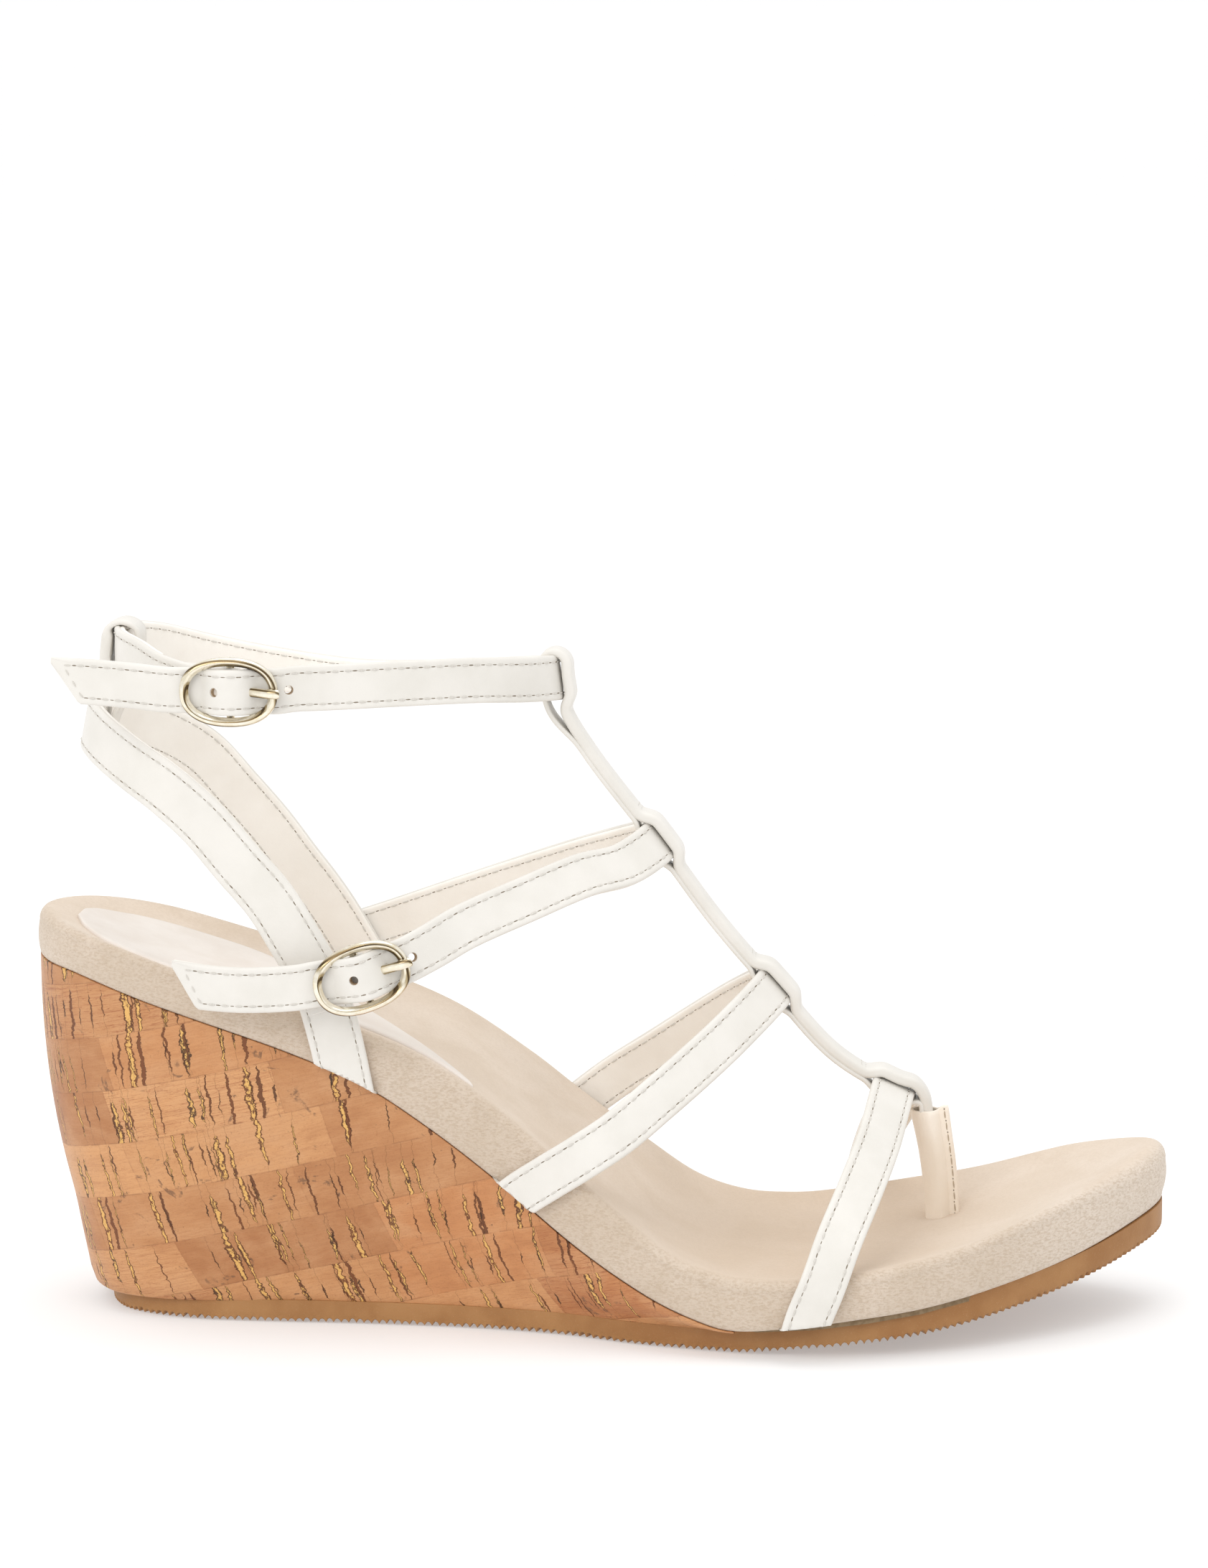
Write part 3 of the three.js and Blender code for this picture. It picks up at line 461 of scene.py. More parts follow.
def metal(name):
    """Polished pale-gold plating with faint wear, and painted reflections of the studio's dark parts."""
    net = Net(name, Metallic=1.0, Roughness=0.13)
    where = net.place()
    cloud = net.noise(where, 0.6, 3.0, 0.6)
    scratch = net.noise(net.scaled(where, 6.0, 0.6, 1.2), 2.2, 3.0, 0.7)
    base = net.mix(net.step(cloud, 0.35, 0.7), srgb(243, 237, 222, 1.0), srgb(232, 222, 198, 1.0))
    # Painted reflections: a studio is dark between its lamps, so facets turned that way get the darker tones
    # they would mirror painted into their colour.
    nx, ny, nz = net.split(net.node("ShaderNodeTexCoord").outputs["Normal"])
    turn = net.add(net.add(net.mul(nz, 5.2), net.mul(nx, 2.7)), net.mul(ny, 1.4))
    painted_reflection = net.math("SINE", net.add(turn, 0.9))
    base = net.blotch(base, painted_reflection, 0.0, 0.7, 0.9, srgb(164, 144, 104, 1.0))
    base = net.blotch(base, painted_reflection, 0.8, 0.95, 0.92, srgb(74, 58, 38, 1.0))
    net.colour(base)
    net.rough(net.fit(net.step(scratch, 0.5, 0.75), 0.14, 0.1))
    net.bump(scratch, 0.006)
    return net.material


def lenticels(net, s, v, row, cell, tall, wide, seed, keep):
    """Upright slits in the cork, at most one to a cell of a row: the whole slit, its inside, and a chance."""
    column = net.math("FLOOR", net.div(net.add(s, net.mul(row, 37.7)), cell))
    r = net.white(net.vector(column, row, seed))
    q = net.white(net.vector(row, column, seed + 11.5))
    centre = net.sub(net.mul(net.add(column, net.fit(r[0], 0.5, 0.25)), cell), net.mul(row, 37.7))
    half = net.fit(r[1], tall * 0.55, tall * 0.4)
    dv = net.sub(v, net.mul(net.sub(q[1], 0.5), tall * 0.8))
    wobble = net.mul(net.sub(net.noise(net.vector(net.mul(s, 0.35), v, seed), 0.55, 3.0, 0.6), 0.5), 2.2)
    lean = net.mul(dv, net.fit(q[2], 0.12, -0.2))
    dx = net.abs(net.add(net.sub(net.sub(s, centre), lean), wobble))
    along = net.div(dv, half)
    taper = net.math("SQRT", net.math("MAXIMUM", net.sub(1.0, net.mul(along, along)), 0.0))
    ragged = net.fit(net.noise(net.vector(s, v, seed + 3.0), 1.1, 2.0, 0.6), 1.5, 0.1)
    width = net.mul(net.mul(net.fit(r[2], wide * 0.8, wide * 0.35), taper), ragged)
    there = net.math("LESS_THAN", q[0], keep)
    slit = net.mul(net.step(net.sub(width, dx), -0.06, 0.12), there)
    inside = net.mul(net.step(net.sub(net.mul(width, 0.62), dx), -0.05, 0.1), there)
    return slit, inside, r[1]


def cork(name):
    """Cork sheet cut into strips: light and dark tiles, fine growth lines, upright slits and knots."""
    net = Net(name, Roughness=0.5, Specular_IOR_Level=0.4, Coat_Weight=0.12, Coat_Roughness=0.35)
    s, v, _ = net.split(net.grain())
    where = net.place()
    sway = net.mul(net.sub(net.noise(net.vector(net.mul(s, 0.02), 0.0, 4.0), 1.0, 2.0, 0.5), 0.5), 2.6)
    tall = 11.4
    level = net.div(net.add(v, sway), tall)
    row = net.math("FLOOR", level)
    up = net.mul(net.sub(net.math("FRACT", level), 0.5), tall)
    pick = net.white(net.vector(row, 0.0, 2.0))
    tile = net.div(net.add(s, net.mul(pick[0], 90.0)), net.fit(pick[1], 22.0, 34.0))
    tint = net.white(net.vector(net.math("FLOOR", tile), row, 5.0))

    base = net.mix(tint[0], srgb(232, 178, 128), srgb(188, 131, 86))
    base = net.blotch(base, tint[1], 0.55, 0.9, 0.45, srgb(214, 144, 92))
    patch = net.noise(net.vector(net.mul(s, 0.6), v, row), 0.11, 4.0, 0.6, 0.4)
    base = net.blotch(base, patch, 0.4, 0.72, 0.6, srgb(226, 178, 136))
    base = net.blotch(base, patch, 0.5, 0.25, 0.4, srgb(178, 120, 78))

    lines = net.noise(net.vector(net.mul(s, 0.10), net.mul(v, 1.3), net.mul(row, 3.3)), 1.0, 4.0, 0.62, 0.7)
    ridge = net.step(net.abs(net.sub(lines, 0.5)), 0.05, 0.0)
    base = net.mix(net.mul(ridge, 0.18), base, srgb(160, 98, 58))
    bands = net.noise(net.vector(net.mul(s, 0.05), net.mul(v, 0.5), net.add(net.mul(row, 7.0), 1.0)),
                      1.0, 3.0, 0.6, 0.4)
    base = net.blotch(base, bands, 0.5, 0.75, 0.25, srgb(190, 130, 88))
    speck = net.noise(where, 2.6, 3.0, 0.7)
    base = net.blotch(base, speck, 0.53, 0.75, 0.38, srgb(160, 102, 62))

    knot = net.noise(net.vector(s, v, 9.0), 0.16, 3.0, 0.65, 1.2)
    knots = net.mul(net.step(knot, 0.625, 0.68), net.step(net.noise(where, 0.9, 3.0, 0.7), 0.40, 0.58))
    base = net.mix(net.mul(knots, 0.7), base, srgb(112, 84, 64))
    red = net.noise(net.vector(net.mul(s, 0.08), net.mul(v, 2.1), net.mul(row, 5.1)), 1.0, 3.0, 0.6, 0.8)
    veins = net.mul(net.step(net.abs(net.sub(red, 0.5)), 0.03, 0.0), net.step(tint[2], 0.45, 0.6))
    base = net.mix(net.mul(veins, 0.6), base, srgb(158, 84, 48))

    height = net.add(net.mul(lines, 0.35), net.mul(speck, 0.25))
    # Sizes of slits: cell, height, width, seed, chance, chance of a gold inside, shift along the row.
    for cell, size, wide, seed, keep, gold, shift in (
            (9.6, 9.2, 1.0, 1.0, 0.68, 0.9, 0.0), (9.6, 8.0, 0.55, 1.0, 0.42, 0.6, 2.5),
            (10.5, 5.4, 0.25, 3.0, 0.34, 0.0, -1.7), (6.0, 7.6, 0.45, 6.0, 0.46, 0.6, 0.0),
            (4.1, 3.0, 0.28, 12.0, 0.3, 0.0, 0.0)):
        slit, inside, chance = lenticels(net, net.add(s, shift), up, row, cell, size, wide, seed, keep)
        tone = net.mix(chance, srgb(64, 42, 18), srgb(128, 70, 26))
        base = net.mix(net.mul(slit, 0.94), base, tone)
        if gold:
            shine = net.mul(inside, net.step(net.noise(net.vector(net.mul(s, 1.3), v, seed), 0.8, 3.0, 0.7),
                                             0.40, 0.52))
            base = net.mix(net.mul(shine, net.math("LESS_THAN", chance, gold)), base, srgb(244, 198, 120))
        height = net.sub(height, net.mul(slit, 1.5))
    seam = net.step(net.sub(tall / 2, net.abs(up)), 0.22, 0.02)
    edge = net.abs(net.sub(net.math("FRACT", net.add(tile, 0.5)), 0.5))
    joint = net.step(edge, 0.006, 0.001)
    # The seams and joints show darker in worn patches.
    darkening = net.step(net.noise(net.vector(net.mul(s, 0.35), v, 21.0), 0.9, 3.0, 0.7), 0.38, 0.6)
    cut = net.mul(net.math("MAXIMUM", net.mul(seam, 0.5), net.mul(joint, 0.35)), darkening)
    base = net.mix(net.mul(cut, 0.75), base, srgb(150, 96, 58))
    net.colour(net.mix(1.0, base, (0.93, 0.85, 0.74), "MULTIPLY"))
    net.rough(net.fit(speck, 0.25, 0.36))
    net.bump(net.sub(height, net.mul(cut, 0.8)), 0.16)
    return net.material


IVORY = leather("strap_leather", srgb(244, 240, 233), srgb(237, 233, 225), 0.42, 0.045)
# Painted light: the lining's colour is set lighter than its own (lit 0.98, not EXPOSED), to make up for the
# shade its inward faces get.
BEIGE = leather("lining_leather", srgb(247, 243, 236, 0.98), srgb(242, 237, 229, 0.98), 0.5, 0.06)
CREAM = leather("wrap_leather", srgb(248, 238, 225, 0.96), srgb(243, 231, 215, 0.96), 0.5, 0.07)
PAD = leather("pad_leather", srgb(246, 238, 230), srgb(239, 229, 219), 0.5, 0.05)
THREAD = thread("stitch_thread", srgb(240, 235, 226))
TAN_THREAD = thread("stitch_thread_tan", srgb(206, 188, 164))
# Painted shade of the needle holes beside the stitches: the colour of the dark dashes.
HOLE_SHADE = plain("needle_hole_shade", srgb(152, 140, 124), srgb(130, 118, 102), 3.0, 0.9, 0.02)
DARK = plain("punched_hole", srgb(206, 182, 152), srgb(172, 146, 116), 1.5, 0.9, 0.05)
SUEDE = suede("microsuede")
CORK = cork("cork_sheet")
RUBBER = rubber("sole_rubber")
GOLD = metal("buckle_metal")


# ---------- footbed ----------
def middle(x):
    return (top_plan.y(x, -1) + top_plan.y(x, 1)) / 2


def turned(angle):
    return angle if angle >= 0 else angle + 2 * pi


def cap(x, covers, unwrap=lambda angle: angle):
    """The centre of a round end, and the distance from it to the outline in the direction of a point."""
    centre = Vector((x, middle(x), 0))

    def direction(x, y):
        return unwrap(atan2(y - centre.y, x - centre.x))
    table = sorted((direction(p.x, p.y), (p - centre).length)
                   for p in top_plan.ring if covers(p.x - centre.x))
    angles = [a for a, _ in table]

    def reach(x, y):
        i, w = find(angles, direction(x, y))
        return table[i - 1][1] + (table[i][1] - table[i - 1][1]) * min(max(w, 0.0), 1.0)
    return centre, reach


HEEL_CAP, heel_reach = cap(top_plan.low + CAP, lambda away: away <= 4, turned)
TOE_CAP, toe_reach = cap(top_plan.high - CAP, lambda away: away >= -4)


def axis_point(p):
    if p.x < HEEL_CAP.x:
        return HEEL_CAP.copy()
    if p.x > TOE_CAP.x:
        return TOE_CAP.copy()
    return Vector((p.x, middle(p.x), 0))


def inward(x, y):
    """How far in from the outline: as a share of the way to the middle, and in millimetres."""
    p = Vector((x, y, 0))
    a = axis_point(p)
    if x < HEEL_CAP.x:
        reach = heel_reach(x, y)
    elif x > TOE_CAP.x:
        reach = toe_reach(x, y)
    else:
        reach = abs(top_plan.y(x, 1 if y > a.y else -1) - a.y)
    away = (p - a).length
    return max(1 - away / reach, 0.0), max(reach - away, 0.0)


def inner_lift(x, y):
    """What the rim gains on the inner side of the ball."""
    return smooth(6, 34, y) * smooth(158, 184, x) * (1 - smooth(214, 232, x))


def toe_share(x):
    return smooth(212, 232, x)


def shoulder(x):
    return SHOULDER + TOE_SHOULDER * smooth(212, 233, x)


def top_height(x, y, share, depth):
    """The footbed's height: share of the way to the middle, and depth in mm, say how far in the place is."""
    dip = dish(x) * (1 - (1 - share) ** 4)
    size = shoulder(x)
    edge = size * (1 - sqrt(1 - (1 - min(depth / size, 1.0)) ** 2))
    away = hypot(x - POST_X, y - POST_Y)
    return rim(x) + inner_lift(x, y) - dip - edge - DIMPLE * exp(-max(away - DIMPLE_RADIUS, 0.0) ** 2 / 5.0)


def footbed_top(x, y):
    return top_height(x, y, *inward(x, y))


WALL_UP = 0.6       # where the wall starts, over the wedge's top
BOWL_EDGE = (0.02, 0.08, 0.2, 0.4, 0.7, 1.1, 1.6, 2.2, 3.0, 4.0, 5.3, 7.0)  # depths of the outer rows
BOWL_ROWS = 12      # rows from there to the middle


def make_footbed():
    ring = top_plan.even(460)
    run = [top_plan.perimeter * i / len(ring) for i in range(len(ring))]
    rings, grains = [], []

    def level(points, flag, height):
        rings.append(points)
        grains.append([(run[i], height, flag) for i in range(len(points))])

    def bowl(spot, flag):
        """A ring of the top. From the reach to the middle, spot gives the share of it and the depth in mm."""
        points = []
        for p, _ in ring:
            a = axis_point(p)
            share, depth = spot((p - a).length)
            q = p.lerp(a, share)
            points.append(Vector((q.x, q.y, top_height(q.x, q.y, share, depth))))
        level(points, flag, 10.5)

    for share in (1.0, 0.5):
        inner = [p.lerp(axis_point(p), share) for p, _ in ring]
        level([q + Vector((0, 0, seat(q.x) + 0.1)) for q in inner], 1.0, 0.0)
    for inset, up in ((1.4, 0.0), (0.45, 0.05), (0.12, 0.45)):
        level([p + n * (inset + 0.6 * toe_share(p.x)) + Vector((0, 0, seat(p.x) + up)) for p, n in ring],
              1.0, up)
    for f in (0.12, 0.25, 0.4, 0.55, 0.7, 0.85, 1.0):
        points = []
        for p, n in ring:
            bulge = 0.35 * sin(pi * f) - 0.06 - 0.8 * (1 - f) ** 2 * toe_share(p.x)
            wall = rim(p.x) + inner_lift(p.x, p.y) - shoulder(p.x) - seat(p.x) - WALL_UP
            high = seat(p.x) + WALL_UP + wall * f
            points.append(p - n * bulge + Vector((0, 0, high)))
        level(points, 1.0, 10 * f)
    for depth in BOWL_EDGE:
        bowl(lambda reach: (min(depth / reach, 1.0), depth), 1.0 - smooth(0.3, 3.0, depth))
    for k in range(1, BOWL_ROWS + 1):
        def spot(reach):
            first = min(BOWL_EDGE[-1] / reach, 1.0)
            share = first + (1 - first) * k / BOWL_ROWS
            return share, share * reach
        bowl(spot, 0.0)
    footbed = Build().rings(rings, grains, lids=False).piece("footbed_suede", SUEDE, hides=["footbed_cover"],
                                                             slot="suede", sharp=60, grain=True)


# ---------- sock pad ----------
PAD_OUTER = [(7, -3), (10, -10), (18, -18), (32, -24.2), (50, -26), (75, -26), (94, -27.8)]
PAD_INNER = [(7, 3), (10, 9), (18, 15.5), (32, 18.5), (45, 16.5), (57, 8), (68, -5), (81, -17), (94, -27)]
PAD_START, PAD_END = 7, 94
PAD_THICK, PAD_ROUND = 0.85, 1.1    # and the width of its rounded edge
PAD_SHARES = (0, 0.012, 0.03, 0.055, 0.09, 0.14, 0.22, 0.34, 0.5, 0.66, 0.78, 0.86, 0.91, 0.945, 0.97,
              0.988, 1)


def make_pad():
    outer, inner = profile(PAD_OUTER), profile(PAD_INNER)
    rows = 110
    sections = []
    for i in range(rows + 1):
        x = PAD_START + (PAD_END - PAD_START) * (0.5 - 0.5 * cos(pi * i / rows)) ** 0.9
        low, high = outer(x), inner(x)
        over, under = [], []
        for t in PAD_SHARES:
            y = low * (1 - t) + high * t
            rim_distance = min(t, 1 - t) * (high - low) * 0.9
            end = min(x - PAD_START, PAD_END - x) * 0.8
            inside = min(max(min(rim_distance, end), 0.0) / PAD_ROUND, 1.0)
            lift = 0.1 + PAD_THICK * sqrt(max(1 - (1 - inside) ** 2, 0.0))
            z = footbed_top(x, y)
            over.append(Vector((x, y, z + lift)))
            under.append(Vector((x, y, z - 0.3)))
        sections.append(over + under[::-1])
    pad = Build().rings(sections).piece("sock_pad", PAD, hides=["sock_label"], slot="label", sharp=55)


# ---------- cork ----------
TILT = radians(14)  # of the cork's strips
HEEL_FLARE = 1.9    # how far the cork's foot stands out round the heel
HEEL_MIDDLE = 40    # the wall behind this x faces away from it
CORK_THICK = 1.25


def make_cork():
    rows, half = 26, 210
    end = (WEDGE_END - top_plan.low) / (top_plan.high - top_plan.low)
    last = acos(1 - 2 * end)
    sections = []
    for k in range(-half, half + 1):
        side = 1 if k >= 0 else -1
        t = 0.5 - 0.5 * cos(last * abs(k) / half)
        x_top = top_plan.low + (top_plan.high - top_plan.low) * t
        x_low = ground_plan.low + (ground_plan.high - ground_plan.low) * t
        y_top, y_low = top_plan.y(x_top, side), ground_plan.y(x_low, side)
        foot = underside(x_low) + OUTSOLE
        head = max(seat(x_top) - 0.15, foot + 0.05)
        line = []
        for j in range(rows + 1):
            f = j / rows
            g = f ** WALL_CURVE
            lip = 0.35 * smooth(0.9, 0.97, f) * min((head - foot) / 20, 1.0)
            x = x_top + (x_low - x_top) * g
            y = y_top * (1 - g) + y_low * g
            out = Vector((0, side, 0))
            if x < HEEL_MIDDLE:
                out = Vector((x - HEEL_MIDDLE, y * 1.6, 0)).normalized()
            lip += HEEL_FLARE * smooth(0.7, 1.0, f) * (1 - smooth(14, 55, x))
            line.append((Vector((min(x, WEDGE_END), y, head + (foot - head) * f)), out, lip))
        outer = [p + out * (lip - 0.12) for p, out, lip in line]
        (top, out_top, _), out_foot = line[0], line[-1][1]
        outer = [top - out_top * 1.3 + Vector((0, 0, -0.1)),
                 top - out_top * 0.5 + Vector((0, 0, 0.12))] + outer
        shrink = min((head - foot) / 12, 1.0)
        outer.append(outer[-1] - out_foot * 0.45 * shrink + Vector((0, 0, -0.3)))
        outer.append(outer[-1] - out_foot * 1.6 + Vector((0, 0, -0.02)))
        inner = [p - out * CORK_THICK for p, out, _ in reversed(line[1:-1])]
        sections.append(outer + inner)
    spots = [section[len(section) // 3] for section in sections]
    runs = [0.0]
    for a, b in zip(spots, spots[1:]):
        runs.append(runs[-1] + hypot(b.x - a.x, b.y - a.y))
    grains = []
    for section, run in zip(sections, runs):
        along = run - runs[half]
        side = 1 if along > 0 else -1
        grains.append([(along * cos(TILT) + side * p.z * sin(TILT),
                        p.z * cos(TILT) - (p.x - 10) * sin(TILT), 0) for p in section])
    Build().rings(sections, grains).piece("cork_cover", CORK, hides=["cork_wrap"], slot="cork", sharp=50,
                                          grain=True)


# ---------- outsole ----------
TOOTH = 0.9         # height of a ripple of the lower edge, its length, and its height from point to point
TOOTH_PITCH = 1.6
TOOTH_SHAPE = (0.0, 0.8, 1.0, 0.75)


def make_outsole():
    steps = len(TOOTH_SHAPE)
    teeth = round(ground_plan.perimeter / TOOTH_PITCH)
    ring = ground_plan.even(teeth * steps)
    chance = random.Random(7)
    sizes = [TOOTH * chance.uniform(0.7, 1.1) for _ in range(teeth)]
    bites = [sizes[i // steps] * TOOTH_SHAPE[i % steps] for i in range(len(ring))]
    ends = (ground_plan.low + 20, ground_plan.high - 20)
    rings = []

    def level(place, height, bite):
        """A ring at a share of the sole's thickness, with a share of the ripples."""
        points = []
        for i, (p, n) in enumerate(ring):
            q = place(p, n)
            points.append(Vector((q.x, q.y, underside(q.x) + sole_thickness(q.x) * height + bite * bites[i])))
        rings.append(points)

    def edge(inset):
        def place(p, n):
            heel = 2.2 * max(0.0, 1 - (p.x - ground_plan.low) / 26)
            return p + n * (inset - 0.5 + heel - 0.7 * smooth(205, 231, p.x))
        return place

    def to_axis(share):
        def place(p, n):
            x = min(max(p.x, ends[0]), ends[1])
            a = Vector((x, (ground_plan.y(x, -1) + ground_plan.y(x, 1)) / 2, 0))
            return (p + n * 3.4).lerp(a, share)
        return place

    for share, bite in ((1.0, 0.0), (0.95, 0.5), (0.6, 1.0), (0.3, 1.0), (0.0, 1.0)):
        level(to_axis(share), 0.0, bite)
    for inset, height, bite in ((0.7, 0.0, 1.0), (0.3, 0.012, 1.0), (0.08, 0.08, 0.85), (0.0, 0.22, 0.2),
                                (0.0, 0.45, 0.0), (0.0, 0.92, 0.0), (0.05, 1.06, 0.0), (0.6, 1.1, 0.0)):
        level(edge(inset), height, bite)
    level(to_axis(0.4), 1.0, 0.0)
    level(to_axis(1.0), 1.0, 0.0)
    Build().rings(rings, lids=False).piece("outsole_rubber", RUBBER, hides=["outsole"], slot="sole_rubber",
                                           sharp=35)


# ---------- straps ----------
class Strap:
    """Frames along a strap, evenly spaced: middle, tangent, outward normal and width direction."""

    def __init__(self, points, step=0.5):
        path = centripetal([p[:3] for p in points])
        facing = centripetal([p[3:] for p in points])
        count = 3000
        dense = [path(i / count) for i in range(count + 1)]
        run = lengths(dense)
        self.length = run[-1]
        self.knots = [run[round(i / (len(points) - 1) * count)] for i in range(len(points))]
        self.step = self.length / round(self.length / step)
        self.frames = []
        for k in range(round(self.length / self.step) + 1):
            d = min(k * self.step, self.length - 1e-6)
            j, w = find(run, d)
            t = (j - 1 + w) / count
            tangent = (path(min(t + 5e-4, 1)) - path(max(t - 5e-4, 0))).normalized()
            normal = facing(t)
            normal = (normal - tangent * normal.dot(tangent)).normalized()
            self.frames.append((dense[j - 1].lerp(dense[j], w), tangent, normal, tangent.cross(normal)))

    def frame(self, d):
        k = min(max(d / self.step, 0.0), len(self.frames) - 1.001)
        i = int(k)
        a, b = self.frames[i], self.frames[i + 1]
        place, *axes = [a[m].lerp(b[m], k - i) for m in range(4)]
        return (place, *[axis.normalized() for axis in axes])

    def at(self, d, y, z):
        p, _, n, b = self.frame(d)
        return p + b * y + n * z


def slanted(y, d):
    """Across position near a slanted free end."""
    reach = min(1.0, -0.75 + 1.75 * d / SLANT)
    return -WIDTH / 2 + (y + WIDTH / 2) * (1 + reach) / 2


def mirrored(half):
    """A section from its half on the +y side, running over from one edge to the other."""
    return [(-y, z) for y, z in half] + [(0, half[-1][1])] + [(y, z) for y, z in reversed(half)]


SWEEP_STEP = 0.8
# A stitch's rings: share of its length, rise in mm, share of its thickness.
STITCH_RINGS = ((-0.5, -0.16, 0.3), (-0.44, 0.02, 0.75), (-0.25, 0.14, 0.95), (0.0, 0.18, 1.0),
                (0.25, 0.14, 0.95), (0.44, 0.02, 0.75), (0.5, -0.16, 0.3))
# Sections of a strap's two plies: across, and out from the middle.
OUTER_SECTION = mirrored([(4.5, -0.02), (4.66, 0.14), (4.72, 0.42), (4.67, 0.74), (4.5, 1.0), (4.22, 1.13),
                          (3.9, 1.16), (3.6, 1.13), (3.4, 1.09), (3.25, 1.07), (3.1, 1.08), (2.85, 1.1),
                          (2.4, 1.12), (1.6, 1.13), (0.8, 1.14)])
INNER_SECTION = mirrored([(4.4, 0.0), (4.5, -0.2), (4.54, -0.5), (4.46, -0.82), (4.25, -1.0), (3.9, -1.07),
                          (3.6, -1.05), (3.25, -1.03), (2.9, -1.04), (2.2, -1.05), (1.1, -1.07)])


OUTER_SEAM, INNER_SEAM = 1.01, -0.98  # where the stitches lie, out from the middle
SEAM_END = 0.5      # from the strap's end


def widened(section, extra):
    """A strap's section with its flat middle stretched and its sewn edges moved outward."""
    return [(y * (ROW + extra) / ROW if abs(y) <= ROW else y + copysign(extra, y), z) for y, z in section]


def tucked(p):
    """Turns what lies below the footbed's lower edge in under it."""
    floor = seat(p.x) + 0.5
    spare = floor - p.z
    if spare <= 0 or p.x > 225:
        return p
    inside = -1 if p.y > 0 else 1
    return Vector((p.x, p.y + inside * spare, floor - 0.25 * smooth(0, 1.2, spare)))


def same(p):
    return p


def sweep(strap, section, start, end, shape=lambda y, d: y, bend=same, puff=0.0):
    """A section carried along a strap. shape sets the across position, bend moves points, puff swells it."""
    count = max(2, round((end - start) / SWEEP_STEP))
    rings = []
    for i in range(count + 1):
        d = start + (end - start) * i / count
        swell = 1 + puff * sin(d * 0.9) * sin(d * 0.37)
        rings.append([bend(strap.at(d, shape(y, d), z * swell)) for y, z in section])
    return Build().rings(rings)


def stitch_row(strap, path, height, up, threads, holes, bend=same, pitch=PITCH, bite=0.2, gap_size=1.0):
    """Stitches along a path of (distance, across) points, with painted shade of the needle holes: a dark dash
    in each gap.
    """
    places = [Vector((d, y)) for d, y in path]
    run = lengths(places)
    total = run[-1]
    count = round(total / pitch)

    def spot(at):
        j, w = find(run, at)
        return places[j - 1].lerp(places[j], w)

    def on_strap(at):
        where = spot(at)
        return bend(strap.at(where.x, where.y, height))

    for k in range(count):
        mid = total * (k + 0.5) / count
        pa, pb = on_strap(mid - STITCH / 2), on_strap(mid + STITCH / 2)
        n = strap.frame(spot(mid).x)[2] * up
        along = pb - pa
        reach = along.length
        if reach < 0.6:
            continue
        along.normalize()
        side = along.cross(n).normalized()
        arch = (pa + pb) / 2 - on_strap(mid)
        rings = []
        for f, rise, thick in STITCH_RINGS:
            centre = (pa + pb) / 2 - arch * (1 - 4 * f * f) + along * (reach * f) + n * rise
            rings.append([centre + side * (bite * 1.15 * thick * cos(q * pi / 3))
                          + n * (bite * thick * sin(q * pi / 3)) for q in range(6)])
        threads.rings(rings)
        if k < count - 1:
            gap = mid + total / count / 2
            qa, qb = on_strap(gap - 0.3), on_strap(gap + 0.3)
            if (qb - qa).length > 0.3:
                run_on = (qb - qa).normalized()
                across = run_on.cross(n).normalized()
                # Painted shade: a dark dash laid on the leather in the gap, for the needle hole and the
                # thread's shadow.
                holes.blob((qa + qb) / 2 + n * 0.04, (run_on, across, n),
                           (0.56 * gap_size, 0.17 * gap_size, 0.06), 6, 6)


def make_stitches(name, threads, holes, body, material=None):
    threads.piece(name + "_stitches", material or THREAD, body, slot="strap")
    holes.piece(name + "_needle_hole_shades", HOLE_SHADE, body, slot="strap")


def free_path(far):
    """Stitch path of a strap with a slanted free end, from its other end and back."""
    slant = hypot(SLANT, WIDTH)
    k, c = SLANT / slant, WIDTH / slant
    inset = WIDTH / 2 - ROW
    first = inset * c + (inset + inset * k) / c * k
    second = inset * c + (WIDTH / 2 + ROW + inset * k) / c * k
    return [(far, -ROW), (first, -ROW), (second, ROW), (far, ROW)]


def make_strap(name, points, body="sandal", free=False, lining_knot=-1, width=WIDTH):
    """A strap's two sewn plies. A free one has a slanted start; others are tucked in under the footbed."""
    strap = Strap(points)
    extra = (width - WIDTH) / 2
    end = strap.knots[lining_knot]
    shape = slanted if free else (lambda y, d: y)
    bend = same if free else tucked
    upper = sweep(strap, widened(OUTER_SECTION, extra), 0, strap.length, shape, bend, 0.02).piece(
        name + "_upper", IVORY, body, [name], "strap", 42)
    inner = sweep(strap, widened(INNER_SECTION, extra), 0.15 if free else 0, end, shape, bend, 0.02).piece(
        name + "_inner", BEIGE, body, [name + "_lining"], "lining", 42)

    def paths(far):
        if free:
            return [free_path(far)]
        return [[(SEAM_END, y), (far - SEAM_END, y)] for y in (-ROW - extra, ROW + extra)]

    threads, holes = Build(), Build()
    for path in paths(strap.length):
        stitch_row(strap, path, OUTER_SEAM, 1, threads, holes, bend, bite=0.15)
    for path in paths(end):
        stitch_row(strap, path, INNER_SEAM, -1, threads, holes, bend, bite=0.14, gap_size=0.7)
    make_stitches(name, threads, holes, body)
    return strap, upper, inner


HOLE_RADIUS, CUTTER_DEPTH = 0.95, 6.0
FEWEST, MOST = 20, 200  # what one punched hole may add to a mesh, in vertices
NUDGE = Vector((2.3e-5, 1.1e-5, 3.1e-5))


